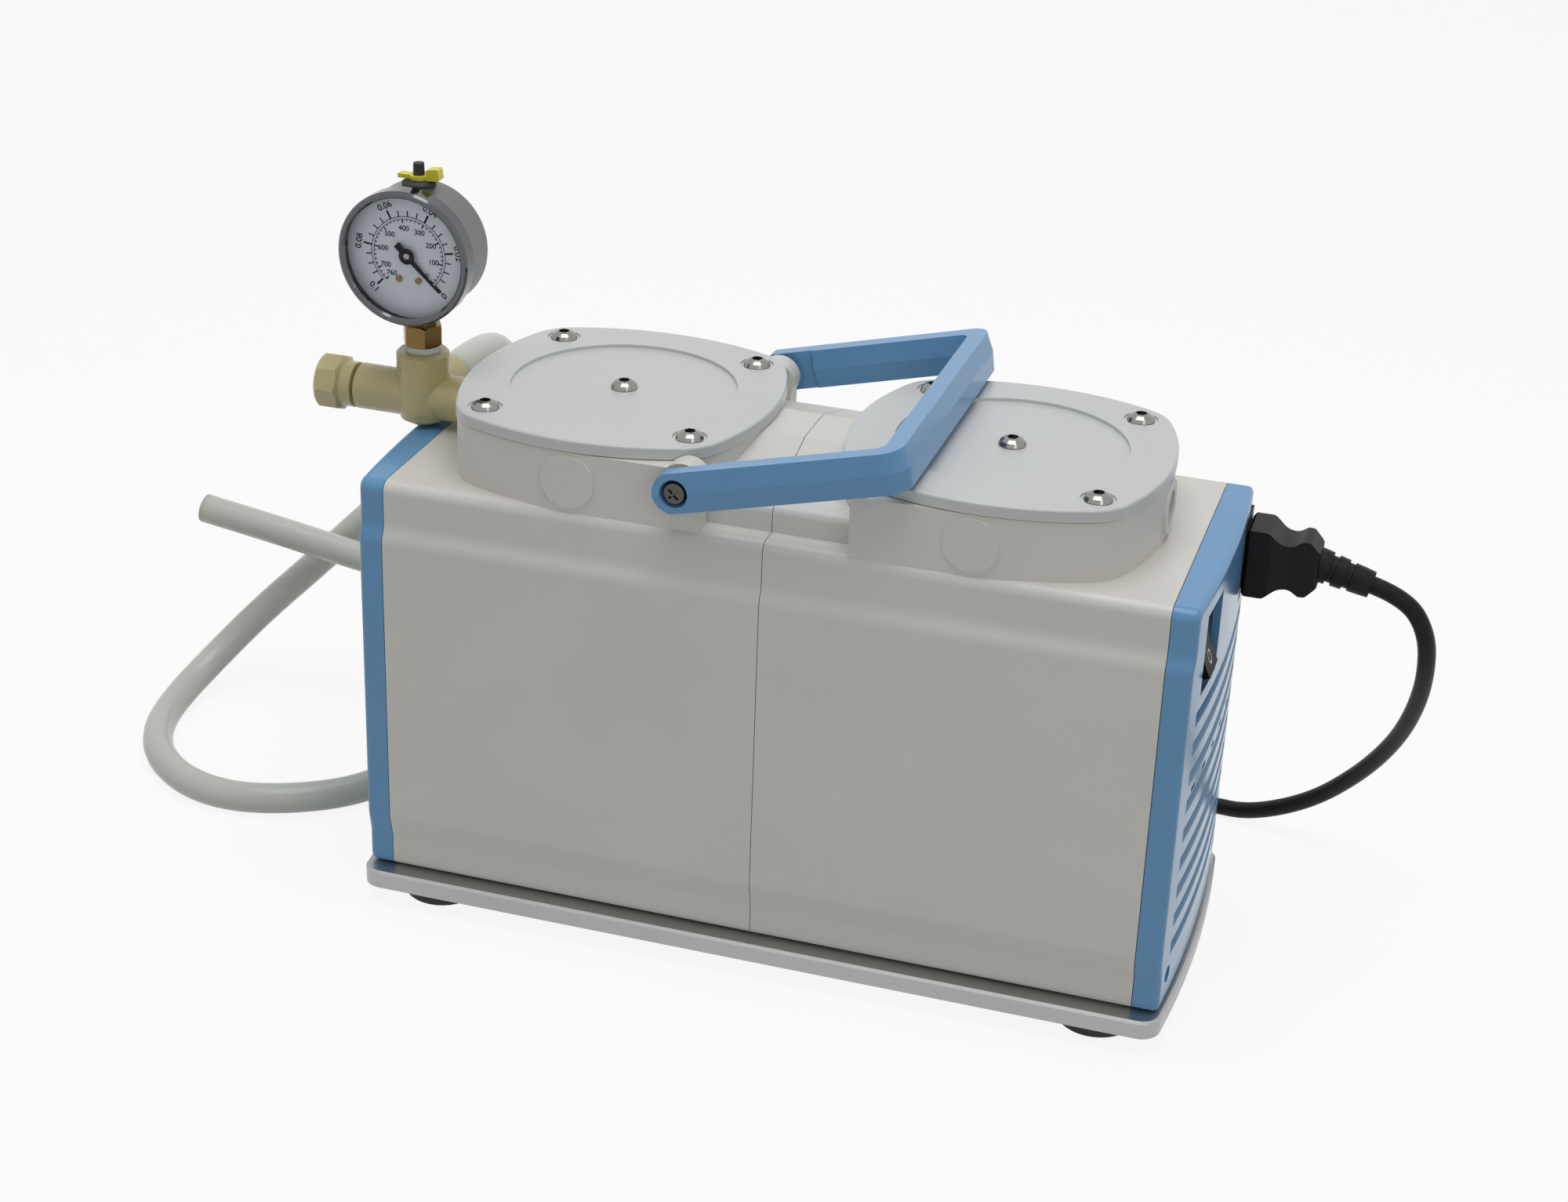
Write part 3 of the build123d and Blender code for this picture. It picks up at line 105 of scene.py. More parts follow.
def start(name, **sockets):
    """A material with one Principled shader: returns it, its tree, the shader and the piece's
    own coordinates in metres."""
    made = bpy.data.materials.new(name)
    made.use_nodes = True
    tree = made.node_tree
    tree.nodes.clear()
    shader = add(tree, "ShaderNodeBsdfPrincipled")
    for key, value in sockets.items():
        shader.inputs[key.replace("_", " ")].default_value = value
    add(tree, "ShaderNodeOutputMaterial", {"Surface": shader.outputs[0]})
    place = add(tree, "ShaderNodeTexCoord").outputs["Object"]
    return made, tree, shader, place


def connect(tree, shader, **outputs):
    """Links each output to the shader's socket of that name."""
    for name, output in outputs.items():
        tree.links.new(output, shader.inputs[name.replace("_", " ")])


print("white is", linear("#ffffff"))

# %% [markdown]
# ## The mains lead
# A 7 mm PVC lead leaves the connector's ribbed relief, bends down under its own weight, and
# runs along the bench to a neat coil of its unseen length. It is one NURBS curve with a round
# bevel: few control points give a smooth line, where sampled points would give bent wire.

# %% A curve as one soft strand
# Points are written in millimetres from the seam of the castings. It lies 19.2 mm to the right
# of the whole pump's middle, because the knob sticks out at the left.
seam_offset = np.array([19.2, 0.0, 0.0])


def strand(name, points, radius, capped=True):
    """One open NURBS spline of order 3 between its end points, pulled by the others, in metres.
    Its bevel is 1 m deep and each point's own radius scales that to the real one, so that the
    curve's box is as thick as the tube."""
    data = bpy.data.curves.new(name, "CURVE")
    data.dimensions, data.resolution_u = "3D", 12
    data.bevel_depth, data.bevel_resolution, data.use_fill_caps = 1.0, 6, capped
    line = data.splines.new("NURBS")
    line.points.add(len(points) - 1)
    line.points.foreach_set("co", np.c_[points, np.ones(len(points))].ravel())
    line.points.foreach_set("radius", np.full(len(points), radius))
    line.order_u, line.use_endpoint_u = 3, True
    piece = bpy.data.objects.new(name, data)
    bpy.context.scene.collection.objects.link(piece)
    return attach(piece, "pump")


# %% Points of the lead
cord_radius = 0.0035
lead_out = np.array([
    [210.391, 43, 155.841], [223.975, 43, 152.454], [233.4, 44.5, 138.5], [235, 53, 117], [232, 70, 92],
    [225, 88, 67], [212, 104, 42], [193, 116, 19], [168, 122, 5], [150, 125.8, 3.5], [134, 127, 3.5],
    [120, 126, 3.5], [111.5, 119, 3.5]])
lead_in = np.array([[22.5, 121.5, 11.3], [15, 128, 10.2], [5.5, 131.6, 5.2], [-5, 132.5, 4.6],
                    [-17, 132, 11], [-30, 132, 12]])
coil_middle = np.array([66.0, 132.0])
lane_radius = np.array([45.4, 38.5, 31.6, 35.05, 41.95, 41.95])
lane_height = np.array([3.55, 3.55, 3.55, 9.55, 9.55, 9.55])
climbing_turn = 2           # the third turn climbs to the second layer
inward, upward = 3.8, 1.3   # how far a turn keeps clear of its neighbour in a change of lane, mm


def coil_points(turns=4.34, per_turn=16, first=-27.6):
    """Turns side by side and on each other: the angle runs down steadily, and in the last
    quarter of each turn the radius and height ease over to the next lane (3t^2 - 2t^3). Where a
    turn climbs it first keeps inside its neighbour. The polygon is 1/cos(180/n degrees) wider
    than the curve."""
    s = np.arange(0, turns, 1 / per_turn)
    k, f = s.astype(int), s % 1
    t, u = np.clip((f - 0.75) / 0.25, 0, 1), np.clip((f - 0.70) / 0.20, 0, 1)
    side, rise = t * t * (3 - 2 * t), u * u * (3 - 2 * u)
    hump = 4 * side * (1 - side)
    radius = lane_radius[k] + (lane_radius[k + 1] - lane_radius[k]) * side
    radius = radius - inward * hump * (k == climbing_turn)
    height = lane_height[k] + (lane_height[k + 1] - lane_height[k]) * rise
    height = height + upward * hump * (k >= climbing_turn)
    angle = np.radians(first - 360 * s)
    radius = radius / math.cos(math.pi / per_turn)
    return np.c_[coil_middle[0] + radius * np.cos(angle),
                 coil_middle[1] + radius * np.sin(angle), height]


lead_points = (np.vstack([lead_out, coil_points(), lead_in]) + seam_offset) / 1000
mains_lead = strand("mains_lead", lead_points, cord_radius)
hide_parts("power_cord", "cord_coil", "cord_tail")
print("control points of the lead:", len(lead_points))

# %% [markdown]
# ## The intake hose
# A soft silicone hose of 13 mm is pushed over the tee's tail. It goes down behind the pump,
# round in a loop on the bench, and crosses itself on its way up to a free, cut end. It is a
# tube with a real bore, so the curve is left open at its ends and Solidify gives it its wall.

# %% Points of the hose
hose_points = (np.array([
    [-160.4, 27, 193.8], [-160.4, 57, 193.8], [-162, 86, 183], [-172, 106, 157], [-192, 113, 130],
    [-215, 111, 107], [-238, 105, 84], [-263, 101.5, 58], [-287, 95, 34], [-303, 78, 15], [-308, 51, 7],
    [-303, 23, 6.5], [-290, 0, 6.5], [-268, -17, 6.5], [-243, -22, 6.5], [-218, -14, 6.5], [-196, 2, 6.5],
    [-181, 25, 9], [-174, 51, 21], [-176, 72, 41], [-189, 83, 60], [-212, 88, 70.5], [-243, 88.5, 74.5],
    [-276, 88, 80], [-309, 88, 84.7]]) + seam_offset) / 1000
intake_hose = strand("silicone_hose", hose_points, 0.0065, capped=False)
wall = intake_hose.modifiers.new("wall", "SOLIDIFY")
wall.thickness, wall.offset = 0.0025, -1.0  # all of the wall lies inside the curve
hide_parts("intake_hose")
print("control points of the hose:", len(hose_points))

# %% [markdown]
# ## Powder-coated castings
# Both halves of the housing and the covers are cast aluminium with a polyester powder coat.
# The powder melts into a skin that is smooth to the hand but dimpled like orange peel, with
# waves of one to two millimetres. A noise bump at that size breaks up the highlights, and a
# second, slower noise shifts the tone by a few percent, as handling does.

# %% Powder coat
peel, touched = 0.0014, 0.06  # metres: waves of the orange peel, patches of handling


def powder_coat(name, colour, shade, roughness=0.36):
    """Paint over metal: a slow noise mixes colour and shade, and a fine one gives the peel."""
    made, tree, shader, place = start(name, Roughness=roughness, IOR=1.5)
    handling = add(tree, "ShaderNodeTexNoise", {"Vector": place, "Scale": 1 / touched, "Detail": 3.0})
    tone = add(tree, "ShaderNodeMix", {
        0: handling.outputs["Fac"], 6: linear(colour), 7: linear(shade)}, data_type="RGBA")
    waves = add(tree, "ShaderNodeTexNoise", {
        "Vector": place, "Scale": 1 / peel, "Detail": 1.5, "Roughness": 0.4})
    bump = add(tree, "ShaderNodeBump", {
        "Strength": 0.16, "Distance": 0.0003, "Height": waves.outputs["Fac"]})
    gloss = add(tree, "ShaderNodeMapRange", {
        "Value": handling.outputs["Fac"], "To Min": roughness - 0.05, "To Max": roughness + 0.07})
    connect(tree, shader, Base_Color=tone.outputs[2], Roughness=gloss.outputs[0], Normal=bump.outputs[0])
    return made


warm_powder = powder_coat("warm_white_powder_coat", "#e3e1db", "#dad7d0")
cool_powder = powder_coat("pale_grey_powder_coat", "#d4d6d5", "#cbcecd", roughness=0.28)
print("powder coats:", warm_powder.name, cool_powder.name)

# %% [markdown]
# ## Moulded plastics and rubber
# The end caps and the handle are glossy ABS in light blue; the switch, inlet, fans and lead are
# black nylon, polycarbonate and PVC; the feet are rubber. A mould leaves either a polish, which
# still ripples a little, or a fine spark-eroded grain. So one finish takes a grain size, a depth
# and a gloss, and the named values do the rest.

# %% Moulded plastics
melt_flow = 0.035  # metres: how the melt filled the mould shows as slow waves of tone and gloss


def moulded(name, colour, roughness, grain, depth, ior=1.5, **more):
    """Plastic or rubber straight from a mould: the grain's noise gives the bump, and a slow one
    shifts tone and gloss a little."""
    made, tree, shader, place = start(name, IOR=ior, **more)
    flow = add(tree, "ShaderNodeTexNoise", {"Vector": place, "Scale": 1 / melt_flow, "Detail": 2.0})
    skin = add(tree, "ShaderNodeTexNoise", {"Vector": place, "Scale": 1 / grain, "Detail": 2.0})
    value = add(tree, "ShaderNodeMapRange", {
        "Value": flow.outputs["Fac"], "To Min": 0.95, "To Max": 1.05})
    tone = add(tree, "ShaderNodeHueSaturation", {"Color": linear(colour), "Value": value.outputs[0]})
    gloss = add(tree, "ShaderNodeMapRange", {
        "Value": flow.outputs["Fac"], "To Min": roughness * 0.85, "To Max": roughness * 1.15})
    bump = add(tree, "ShaderNodeBump", {
        "Strength": depth, "Distance": 0.0002, "Height": skin.outputs["Fac"]})
    connect(tree, shader, Base_Color=tone.outputs[0], Roughness=gloss.outputs[0], Normal=bump.outputs[0])
    return made


blue_abs = moulded("light_blue_glossy_abs", "#69a0cf", 0.20, 0.006, 0.10, Specular_IOR_Level=0.36)
black_nylon = moulded("black_grained_nylon", "#141517", 0.50, 0.0006, 0.35, Specular_IOR_Level=0.3)
black_pc = moulded("black_glossy_polycarbonate", "#0d0e10", 0.42, 0.004, 0.08, ior=1.35,
                   Specular_IOR_Level=0.12)
black_rubber = moulded("black_moulded_rubber", "#1d1d1d", 0.62, 0.0009, 0.40)
black_pvc = moulded("black_pvc_sheath", "#101113", 0.45, 0.0012, 0.22, Specular_IOR_Level=0.18)
pale_case = moulded("pale_capacitor_polypropylene", "#c9c9c4", 0.35, 0.002, 0.15)
nylon = moulded("natural_cast_nylon", "#ccc08d", 0.28, 0.0022, 0.22, ior=1.53,
                Subsurface_Weight=0.5, Subsurface_Scale=0.004, Subsurface_Radius=(1.0, 0.9, 0.6))
yellow_pe = moulded("yellow_polyethylene", "#e3df35", 0.33, 0.0015, 0.2,
                    Subsurface_Weight=0.15, Subsurface_Scale=0.002)
white_print = moulded("white_print_ink", "#e9e9e6", 0.5, 0.0006, 0.1)
black_print = moulded("black_print_ink", "#0a0a0b", 0.6, 0.0006, 0.1, Specular_IOR_Level=0.1)
# The dial is white enamel; its blue-grey colour paints the shade it lies in, deep in the case behind the
# glass.
dial_painted_shade = moulded("white_dial_enamel", "#b3b6be", 0.42, 0.0015, 0.06)
print("plastics made")

# %% [markdown]
# ## Silicone and sealing tape
# The hose is platinum-cured silicone: milky, with a soft skin and some light passing through.
# Transmission alone would look like glass, so most of the light scatters inside the wall and
# only a part goes through it. The PTFE tape is matt white film, wound in overlapping bands.

# %% Silicone and tape
silicone = moulded("milky_silicone", "#d9dbd2", 0.26, 0.003, 0.12, ior=1.41, Transmission_Weight=0.05,
                   Subsurface_Weight=0.5, Subsurface_Scale=0.004, Subsurface_Radius=(1.0, 1.0, 1.0))
tape_lap, tape_tilt = 0.0045, math.radians(12)  # each turn overlaps the last by part of its width
ptfe, tree, shader, place = start("white_ptfe_tape", Base_Color=linear("#e8e9e6"), Roughness=0.55,
                                  IOR=1.35, Subsurface_Weight=0.2, Subsurface_Scale=0.001)
tilt = add(tree, "ShaderNodeMapping", {"Vector": place, "Rotation": (tape_tilt, 0, 0)})
bands = add(tree, "ShaderNodeTexWave", {
    "Vector": tilt.outputs[0], "Scale": 1 / tape_lap, "Distortion": 0.6},
    bands_direction="Z", wave_profile="SAW")
tape_bump = add(tree, "ShaderNodeBump", {
    "Strength": 0.5, "Distance": 0.0002, "Height": bands.outputs["Fac"]})
connect(tree, shader, Normal=tape_bump.outputs[0])
print("silicone and tape made")

# %% [markdown]
# ## Metals
# What tells one metal from another is how it was worked. A brushed or turned face has lines
# that run one way, so the noise is squeezed: its scale is high across the lines and low along
# them. Plated screws are nearly mirror-like, cast iron is rough all over, and copper wire lies
# in bands. The squeeze is three numbers in a Mapping node, in lines per metre.

# %% Worked metals
patina_patch = 0.03  # metres: patches where fingers and age have dulled the metal


def worked_metal(name, colour, roughness, lines, depth, spread=0.10):
    """Bare metal whose streaks repeat lines times per metre along x, y and z; spread is how far
    the gloss varies along them."""
    made, tree, shader, place = start(name, Metallic=1.0)
    squeeze = add(tree, "ShaderNodeMapping", {"Vector": place, "Scale": lines})
    streaks = add(tree, "ShaderNodeTexNoise", {
        "Vector": squeeze.outputs[0], "Scale": 1.0, "Detail": 3.0, "Roughness": 0.6})
    patina = add(tree, "ShaderNodeTexNoise", {
        "Vector": place, "Scale": 1 / patina_patch, "Detail": 2.0})
    value = add(tree, "ShaderNodeMapRange", {
        "Value": patina.outputs["Fac"], "To Min": 0.92, "To Max": 1.06})
    tone = add(tree, "ShaderNodeHueSaturation", {"Color": linear(colour), "Value": value.outputs[0]})
    gloss = add(tree, "ShaderNodeMapRange", {
        "Value": streaks.outputs["Fac"],
        "To Min": max(roughness - spread, 0.04), "To Max": roughness + spread})
    bump = add(tree, "ShaderNodeBump", {
        "Strength": depth, "Distance": 0.00008, "Height": streaks.outputs["Fac"]})
    connect(tree, shader, Base_Color=tone.outputs[0], Roughness=gloss.outputs[0], Normal=bump.outputs[0])
    return made


satin_plate = worked_metal("satin_anodised_plate", "#a8a9a8", 0.36, (40, 1600, 1600), 0.2)
machined = worked_metal("machined_aluminium", "#c4c5c6", 0.28, (900, 900, 60), 0.25)
ground_steel = worked_metal("ground_steel", "#b9babc", 0.24, (1500, 60, 60), 0.2)
spring_strip = worked_metal("rolled_spring_strip", "#b1b3b8", 0.22, (60, 1400, 1400), 0.15)
cast_iron = worked_metal("sand_cast_iron", "#55534f", 0.62, (700, 700, 700), 0.9)
lamination = worked_metal("lacquered_laminations", "#77777a", 0.42, (2000, 20, 20), 0.8)
copper = worked_metal("enamelled_copper_wire", "#b46a3c", 0.26, (20, 900, 900), 0.8)
# The plating's base colour is darkened to a mid grey: it paints the dark reflections of plated screws,
# which the plain white studio does not give.
zinc_dark_reflection_paint = worked_metal("bright_zinc_plating", "#8f8e8b", 0.16, (260, 260, 260), 0.06, 0.07)
# The handle screws get a still darker copy of the same plating, as more painted dark reflection.
handle_screw_dark_reflection_paint = worked_metal("dark_zinc_plating", "#55554f", 0.18, (260, 260, 260), 0.06, 0.07)
# The bezel's base colour is far darker than bare stainless: it paints the dark reflections a polished
# ring shows, which the plain white studio does not give.
bezel_dark_reflection_paint = worked_metal("polished_stainless_bezel", "#5e6063", 0.10, (30, 900, 30), 0.03, 0.03)
# The case's base colour is also darkened below bare stainless, as painted dark reflection.
case_dark_reflection_paint = worked_metal("brushed_stainless_case", "#777879", 0.42, (45, 2400, 45), 0.3, 0.10)
brass = worked_metal("turned_brass", "#775f3a", 0.24, (60, 60, 1500), 0.2)
print("metals made")

# %% [markdown]
# ## Rubber cloth, gasket and glass
# The diaphragms are rubber on a woven cloth, so a checked weave of 0.8 mm shows in their skin.
# The gauge's window is thin clear glass and it is a closed solid, so a plain glass shader bends
# light as a pane does. Its index is set low, because a white studio all round would otherwise
# veil the black print with its reflection.

# %% Rubber cloth and window glass
thread_pitch = 0.0008
diaphragm_cloth, tree, shader, place = start(
    "rubber_on_woven_cloth", Base_Color=linear("#26221f"), Roughness=0.6)
weave = add(tree, "ShaderNodeTexChecker", {"Vector": place, "Scale": 1 / thread_pitch})
cloth_bump = add(tree, "ShaderNodeBump", {
    "Strength": 0.5, "Distance": 0.0001, "Height": weave.outputs["Fac"]})
connect(tree, shader, Normal=cloth_bump.outputs[0])
window_glass = start("clear_window_glass", Base_Color=linear("#fbfcfd"), Roughness=0.02,
                     IOR=1.18, Transmission_Weight=1.0)[0]
print("cloth and glass made")

# %% [markdown]
# ## Each piece gets its finish
# A CAD node keeps its mesh; only the material in its slot changes. The list reads like the
# pump's parts list: finish first, then every piece that has it.

# %% Parts list by finish
finishes = {
    warm_powder: "left_housing right_housing",
    cool_powder: "left_head_cover right_head_cover",
    blue_abs: "left_end_cap right_end_cap handle",
    satin_plate: "base_plate",
    black_rubber: "rubber_feet base_pads head_gaskets gauge_plug",
    zinc_dark_reflection_paint: "cover_screws cap_screws base_screws",
    handle_screw_dark_reflection_paint: "handle_screws",
    machined: "left_valve_plate right_valve_plate left_rod right_rod",
    spring_strip: "reed_valves",
    diaphragm_cloth: "left_diaphragm right_diaphragm",
    ground_steel: "left_clamp_discs right_clamp_discs left_rod_bearing right_rod_bearing"
                  " crankshaft main_bearings",
    cast_iron: "left_eccentric right_eccentric",
    lamination: "rotor stator_core",
    copper: "windings",
    black_nylon: "left_fan right_fan switch_frame power_inlet",
    black_pc: "rocker",
    pale_case: "capacitor",
    black_pvc: "cord_connector strain_relief mains_plug power_cord cord_coil cord_tail",
    nylon: "intake_tee regulator_knob",
    brass: "bleed_screw gauge_stem gauge_movement handle_bushes",
    ptfe: "seal_tape",
    case_dark_reflection_paint: "gauge_case",
    bezel_dark_reflection_paint: "gauge_bezel",
    window_glass: "gauge_glass",
    dial_painted_shade: "gauge_dial",
    black_print: "gauge_needle",
    yellow_pe: "plug_tab",
    silicone: "intake_hose"}
dressed = set()
for finish, names in finishes.items():
    for name in names.split():
        for held in nodes[name].material_slots:
            held.material = finish
        dressed.add(name)
mains_lead.data.materials.append(black_pvc)
intake_hose.data.materials.append(silicone)
print("without a finish:", sorted(set(nodes) - dressed))

# %% [markdown]
# ## The gauge's dial
# The dial is printed: two thin arcs, outward ticks for the pressure scale, inward ticks for
# the mercury scale, and numbers. Every mark is a small flat patch just in front of the enamel.
# A mark is a strip between two radii and two angles, so one array formula makes them all.

# %% Arcs and ticks
dial_low, dial_high = (np.array(corner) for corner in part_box("gauge_dial"))
dial_middle = (dial_low + dial_high) / 2
print_face = dial_low[1] - 0.00006
zero_angle, sweep = -45.0, 270.0           # degrees, from the right and counter-clockwise
pressure_arc, mercury_arc = (0.01510, 0.01540), (0.01415, 0.01440)  # radii in metres
pressure_numbers, mercury_numbers = (0.0206, 0.0036), (0.01060, 0.0029)  # radius and height
mercury_tick, mercury_degree = 7.2, 0.36   # degrees for 20 mm and for 1 mm of mercury


def on_dial(u, v):
    """Points u right and v up of the dial's hub in metres, as an (n, 3) array in the frame."""
    return np.c_[dial_middle[0] + u, np.full(len(u), print_face), dial_middle[2] + v]


def ring_strip(inner, outer, from_angle, to_angle, steps):
    """A flat strip in quads that face front: radius inner or outer times (cos a, sin a), for
    evenly spaced angles a in degrees."""
    angle = np.radians(np.linspace(from_angle, to_angle, steps + 1))
    radius = np.repeat([inner, outer], steps + 1)
    points = on_dial(radius * np.cos(np.tile(angle, 2)), radius * np.sin(np.tile(angle, 2)))
    i = np.arange(steps)
    return points, np.c_[i, i + steps + 1, i + steps + 2, i + 1]


def tick(angle, inner, outer, width):
    """A strip whose angle is as wide as the tick at its middle radius."""
    half = math.degrees(width / (inner + outer))
    return ring_strip(inner, outer, angle - half, angle + half, 1)


def flat_piece(name, patches, material, body):
    """Many flat patches as one mesh."""
    counts = np.cumsum([0] + [len(p) for p, f in patches])
    data = bpy.data.meshes.new(name)
    data.from_pydata(np.vstack([p for p, f in patches]).tolist(), [],
                     [[int(i + c) for i in row] for (p, f), c in zip(patches, counts) for row in f])
    data.materials.append(material)
    piece = bpy.data.objects.new(name, data)
    bpy.context.scene.collection.objects.link(piece)
    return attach(piece, body)


scale_marks = [ring_strip(*pressure_arc, zero_angle, zero_angle + sweep, 108),
               ring_strip(*mercury_arc, zero_angle, zero_angle + sweep + mercury_tick / 2, 108)]
for step in range(21):
    outer, width = (0.0187, 0.0008) if step % 4 == 0 else (0.0176, 0.0005)
    scale_marks.append(tick(zero_angle + step * sweep / 20, 0.0153, outer, width))
for step in range(39):
    inner, width = (0.0127, 0.0006) if step % 5 == 0 or step == 38 else (0.0134, 0.0004)
    scale_marks.append(tick(zero_angle + step * mercury_tick, inner, 0.0143, width))
flat_piece("dial_marks", scale_marks, black_print, "pump")
print("marks on the dial:", len(scale_marks))

# %% [markdown]
# ## Numbers on the dial
# Text is a curve in Blender. It is turned into a mesh first and then laid on the dial with the
# same plane formula as the ticks, so its object stays at the origin. The outer numbers stand
# with their tops outwards, except the two lowest, which are turned to stay readable.

# %% Dial numbers
def number_patch(text, angle, radius, size, turn):
    """Letters as (points, faces): the text's flat mesh, turned, then moved out along the angle.
    The ink is a little bolder than the font, as print on enamel is."""
    data = bpy.data.curves.new("number", "FONT")
    data.body, data.size, data.align_x, data.align_y = text, size, "CENTER", "CENTER"
    data.offset = size * 0.018
    holder = bpy.data.objects.new("number", data)
    bpy.context.scene.collection.objects.link(holder)
    mesh = bpy.data.meshes.new_from_object(holder)
    flat = np.empty(len(mesh.vertices) * 3)
    mesh.vertices.foreach_get("co", flat)
    x, y = flat.reshape(-1, 3)[:, :2].T
    faces = [list(p.vertices) for p in mesh.polygons]
    a, t = math.radians(angle), math.radians(turn)
    bpy.data.objects.remove(holder)
    bpy.data.meshes.remove(mesh)
    return on_dial(x * math.cos(t) - y * math.sin(t) + radius * math.cos(a),
                   x * math.sin(t) + y * math.cos(t) + radius * math.sin(a)), faces


numbers = []
for step, text in enumerate(("0", "0.02", "0.04", "0.06", "0.08", "0.1")):
    angle = zero_angle + step * sweep / 5
    low = step in (0, 5)
    numbers.append(number_patch(text, angle, *pressure_numbers, angle + 90 if low else angle - 90))
for value in (0, 100, 200, 300, 400, 500, 600, 700, 760):
    numbers.append(number_patch(str(value), zero_angle + value * mercury_degree, *mercury_numbers, 0))
flat_piece("dial_numbers", numbers, black_print, "pump")
print("numbers on the dial:", len(numbers))

# %% [markdown]
# ## The needle's hub
# A black cap with a bright pin covers the needle's middle. Both are round faces a hair in
# front of the needle, and they ride on it.

# %% Cap and pin
def hub_disc(radius, lift):
    """One round face of 40 corners, radius times (cos a, sin a), lifted in front of the needle."""
    angle = np.arange(40) * math.pi / 20
    points = on_dial(radius * np.cos(angle), radius * np.sin(angle))
    points[:, 1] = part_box("gauge_needle")[0][1] - lift
    return points, [list(range(40))]


for name, disc, finish in (("needle_cap", hub_disc(0.0032, 0.00004), black_print),
                           ("needle_pin", hub_disc(0.0012, 0.00009), zinc_dark_reflection_paint)):
    print("on the needle:", flat_piece(name, [disc], finish, "needle_body").name)

# %% [markdown]
# ## Marks on the rocker
# The rocker's face is dished: across its height it follows a shallow arc. The bar for on and
# the ring for off are strips laid on that arc, a hair in front of it, and they ride on the
# rocker, so that they tip with it.

# %% Bar and ring
rocker_pivot = np.array(next(j["pos_m"] for j in frame["joints"] if j["name"] == "rocker_pivot"))
lean = math.radians(9.0)                   # the rocker's tilt at rest
dish_middle, dish_curve = 0.00345, 0.0666  # metres: the face's depth, and twice its arc's radius
ink = 0.00004                              # metres in front of the face


def on_rocker(across, up):
    """The dished face lies dish_middle + up^2 / dish_curve in front of the pin, and leans with it."""
    depth = dish_middle + up ** 2 / dish_curve + ink
    return np.c_[rocker_pivot[0] + depth * math.cos(lean) - up * math.sin(lean),
                 rocker_pivot[1] + across,
                 rocker_pivot[2] + depth * math.sin(lean) + up * math.cos(lean)]


def rocker_grid(across, up):
    """Quads over a grid of points given as two 2D arrays."""
    rows, columns = across.shape
    i = (np.arange(rows - 1)[:, None] * columns + np.arange(columns - 1)).ravel()
    return on_rocker(across.ravel(), up.ravel()), np.c_[i, i + 1, i + columns + 1, i + columns]


bar_across, bar_up = np.meshgrid(np.linspace(-0.0004, 0.0004, 2), np.linspace(0.0042, 0.0080, 6))
turn, reach = np.meshgrid(np.linspace(0, 2 * math.pi, 41), np.array([0.0017, 0.0024]))
ring_across, ring_up = reach * np.cos(turn), -0.0062 + reach * 1.15 * np.sin(turn)
rocker_marks = flat_piece("rocker_marks", [
    rocker_grid(bar_across, bar_up), rocker_grid(ring_across[::-1], ring_up[::-1])],
    white_print, "rocker_body")
print("rocker marks:", len(rocker_marks.data.vertices), "points")

# %% [markdown]
# ## Floor, sky and lamps
# A product shot needs a pale floor that keeps a soft shadow, and even light. The world is a
# white dome that lights the object at about a third of its strength, but shows as plain white
# to the camera, to glossy rays and through glass. The paper floor glows a little for those same
# rays. One large soft lamp above does the rest, so that a level surface shows about the colour
# that was written, and a small lamp at the front right lifts the side that faces it.

# %% Floor and world
floor_glow, world_light = 0.80, 0.30


def seen_directly(tree):
    """1 for camera, glossy and transmission rays, which show a surface; 0 for rays that light one."""
    path = add(tree, "ShaderNodeLightPath").outputs
    shown = path["Is Camera Ray"]
    for kind in ("Is Glossy Ray", "Is Transmission Ray"):
        shown = add(tree, "ShaderNodeMath", {0: shown, 1: path[kind]}, operation="MAXIMUM").outputs[0]
    return shown


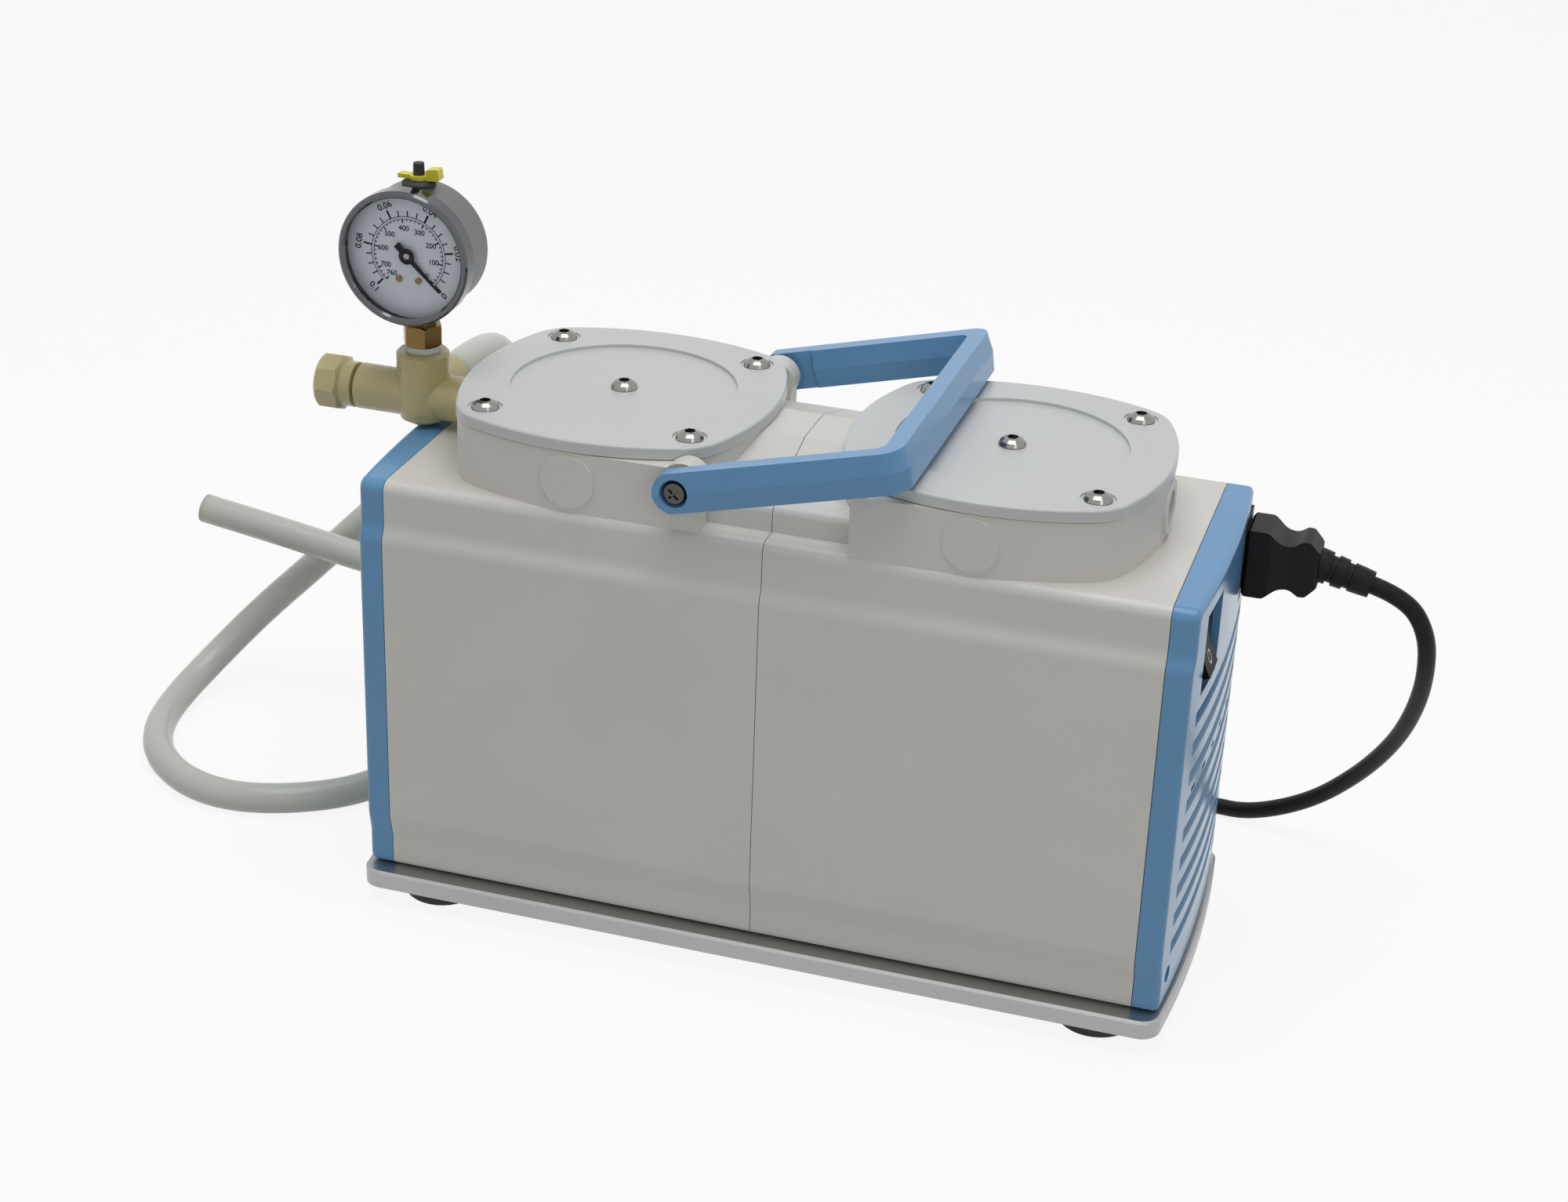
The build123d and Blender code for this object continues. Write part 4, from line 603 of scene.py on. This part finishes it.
floor_data = bpy.data.meshes.new("floor")
floor_data.from_pydata([(-6, -6, 0), (6, -6, 0), (6, 6, 0), (-6, 6, 0)], [], [(0, 1, 2, 3)])
floor = bpy.data.objects.new("floor", floor_data)
bpy.context.scene.collection.objects.link(floor)
paper, tree, shader, place = start("white_paper_floor", Base_Color=linear("#cfcfcd"), Roughness=0.9)
share = add(tree, "ShaderNodeMath", {0: seen_directly(tree), 1: floor_glow}, operation="MULTIPLY")
glow = add(tree, "ShaderNodeEmission", {"Color": (1, 1, 1, 1), "Strength": 1.1})
blend = add(tree, "ShaderNodeMixShader", {0: share.outputs[0], 1: shader.outputs[0], 2: glow.outputs[0]})
paper_output = next(node for node in tree.nodes if node.type == "OUTPUT_MATERIAL")
tree.links.new(blend.outputs[0], paper_output.inputs["Surface"])
floor_data.materials.append(paper)

world = bpy.data.worlds.new("studio")
bpy.context.scene.world = world
world.use_nodes = True
tree = world.node_tree
tree.nodes.clear()
strength = add(tree, "ShaderNodeMapRange", {
    "Value": seen_directly(tree), "To Min": world_light, "To Max": 1.0})
sky = add(tree, "ShaderNodeBackground", {"Color": (1, 1, 1, 1), "Strength": strength.outputs[0]})
add(tree, "ShaderNodeOutputWorld", {"Surface": sky.outputs[0]})
print("floor and world set")

# %% Lamps
def soft_lamp(name, place, aim, side, power):
    """A square lamp of the given side in metres and power in watts, whose -Z axis points at aim."""
    data = bpy.data.lights.new(name, "AREA")
    data.shape, data.size, data.energy = "SQUARE", side, power
    lamp = bpy.data.objects.new(name, data)
    back = np.array(place, float) - aim
    back /= np.linalg.norm(back)
    right = np.cross((0, 0.001, 1), back)
    right /= np.linalg.norm(right)
    up = np.cross(back, right)
    lamp.matrix_world = Matrix([[*row] for row in np.c_[right, up, back, place]] + [[0, 0, 0, 1]])
    bpy.context.scene.collection.objects.link(lamp)


soft_lamp("key_lamp", (0.05, -0.12, 1.7), np.array([0, 0, 0.1]), 1.1, 12.5)
soft_lamp("front_lamp", (1.2, -1.3, 0.9), np.array([0, 0, 0.15]), 0.5, 1.6)
bpy.context.scene.view_settings.view_transform = "Standard"
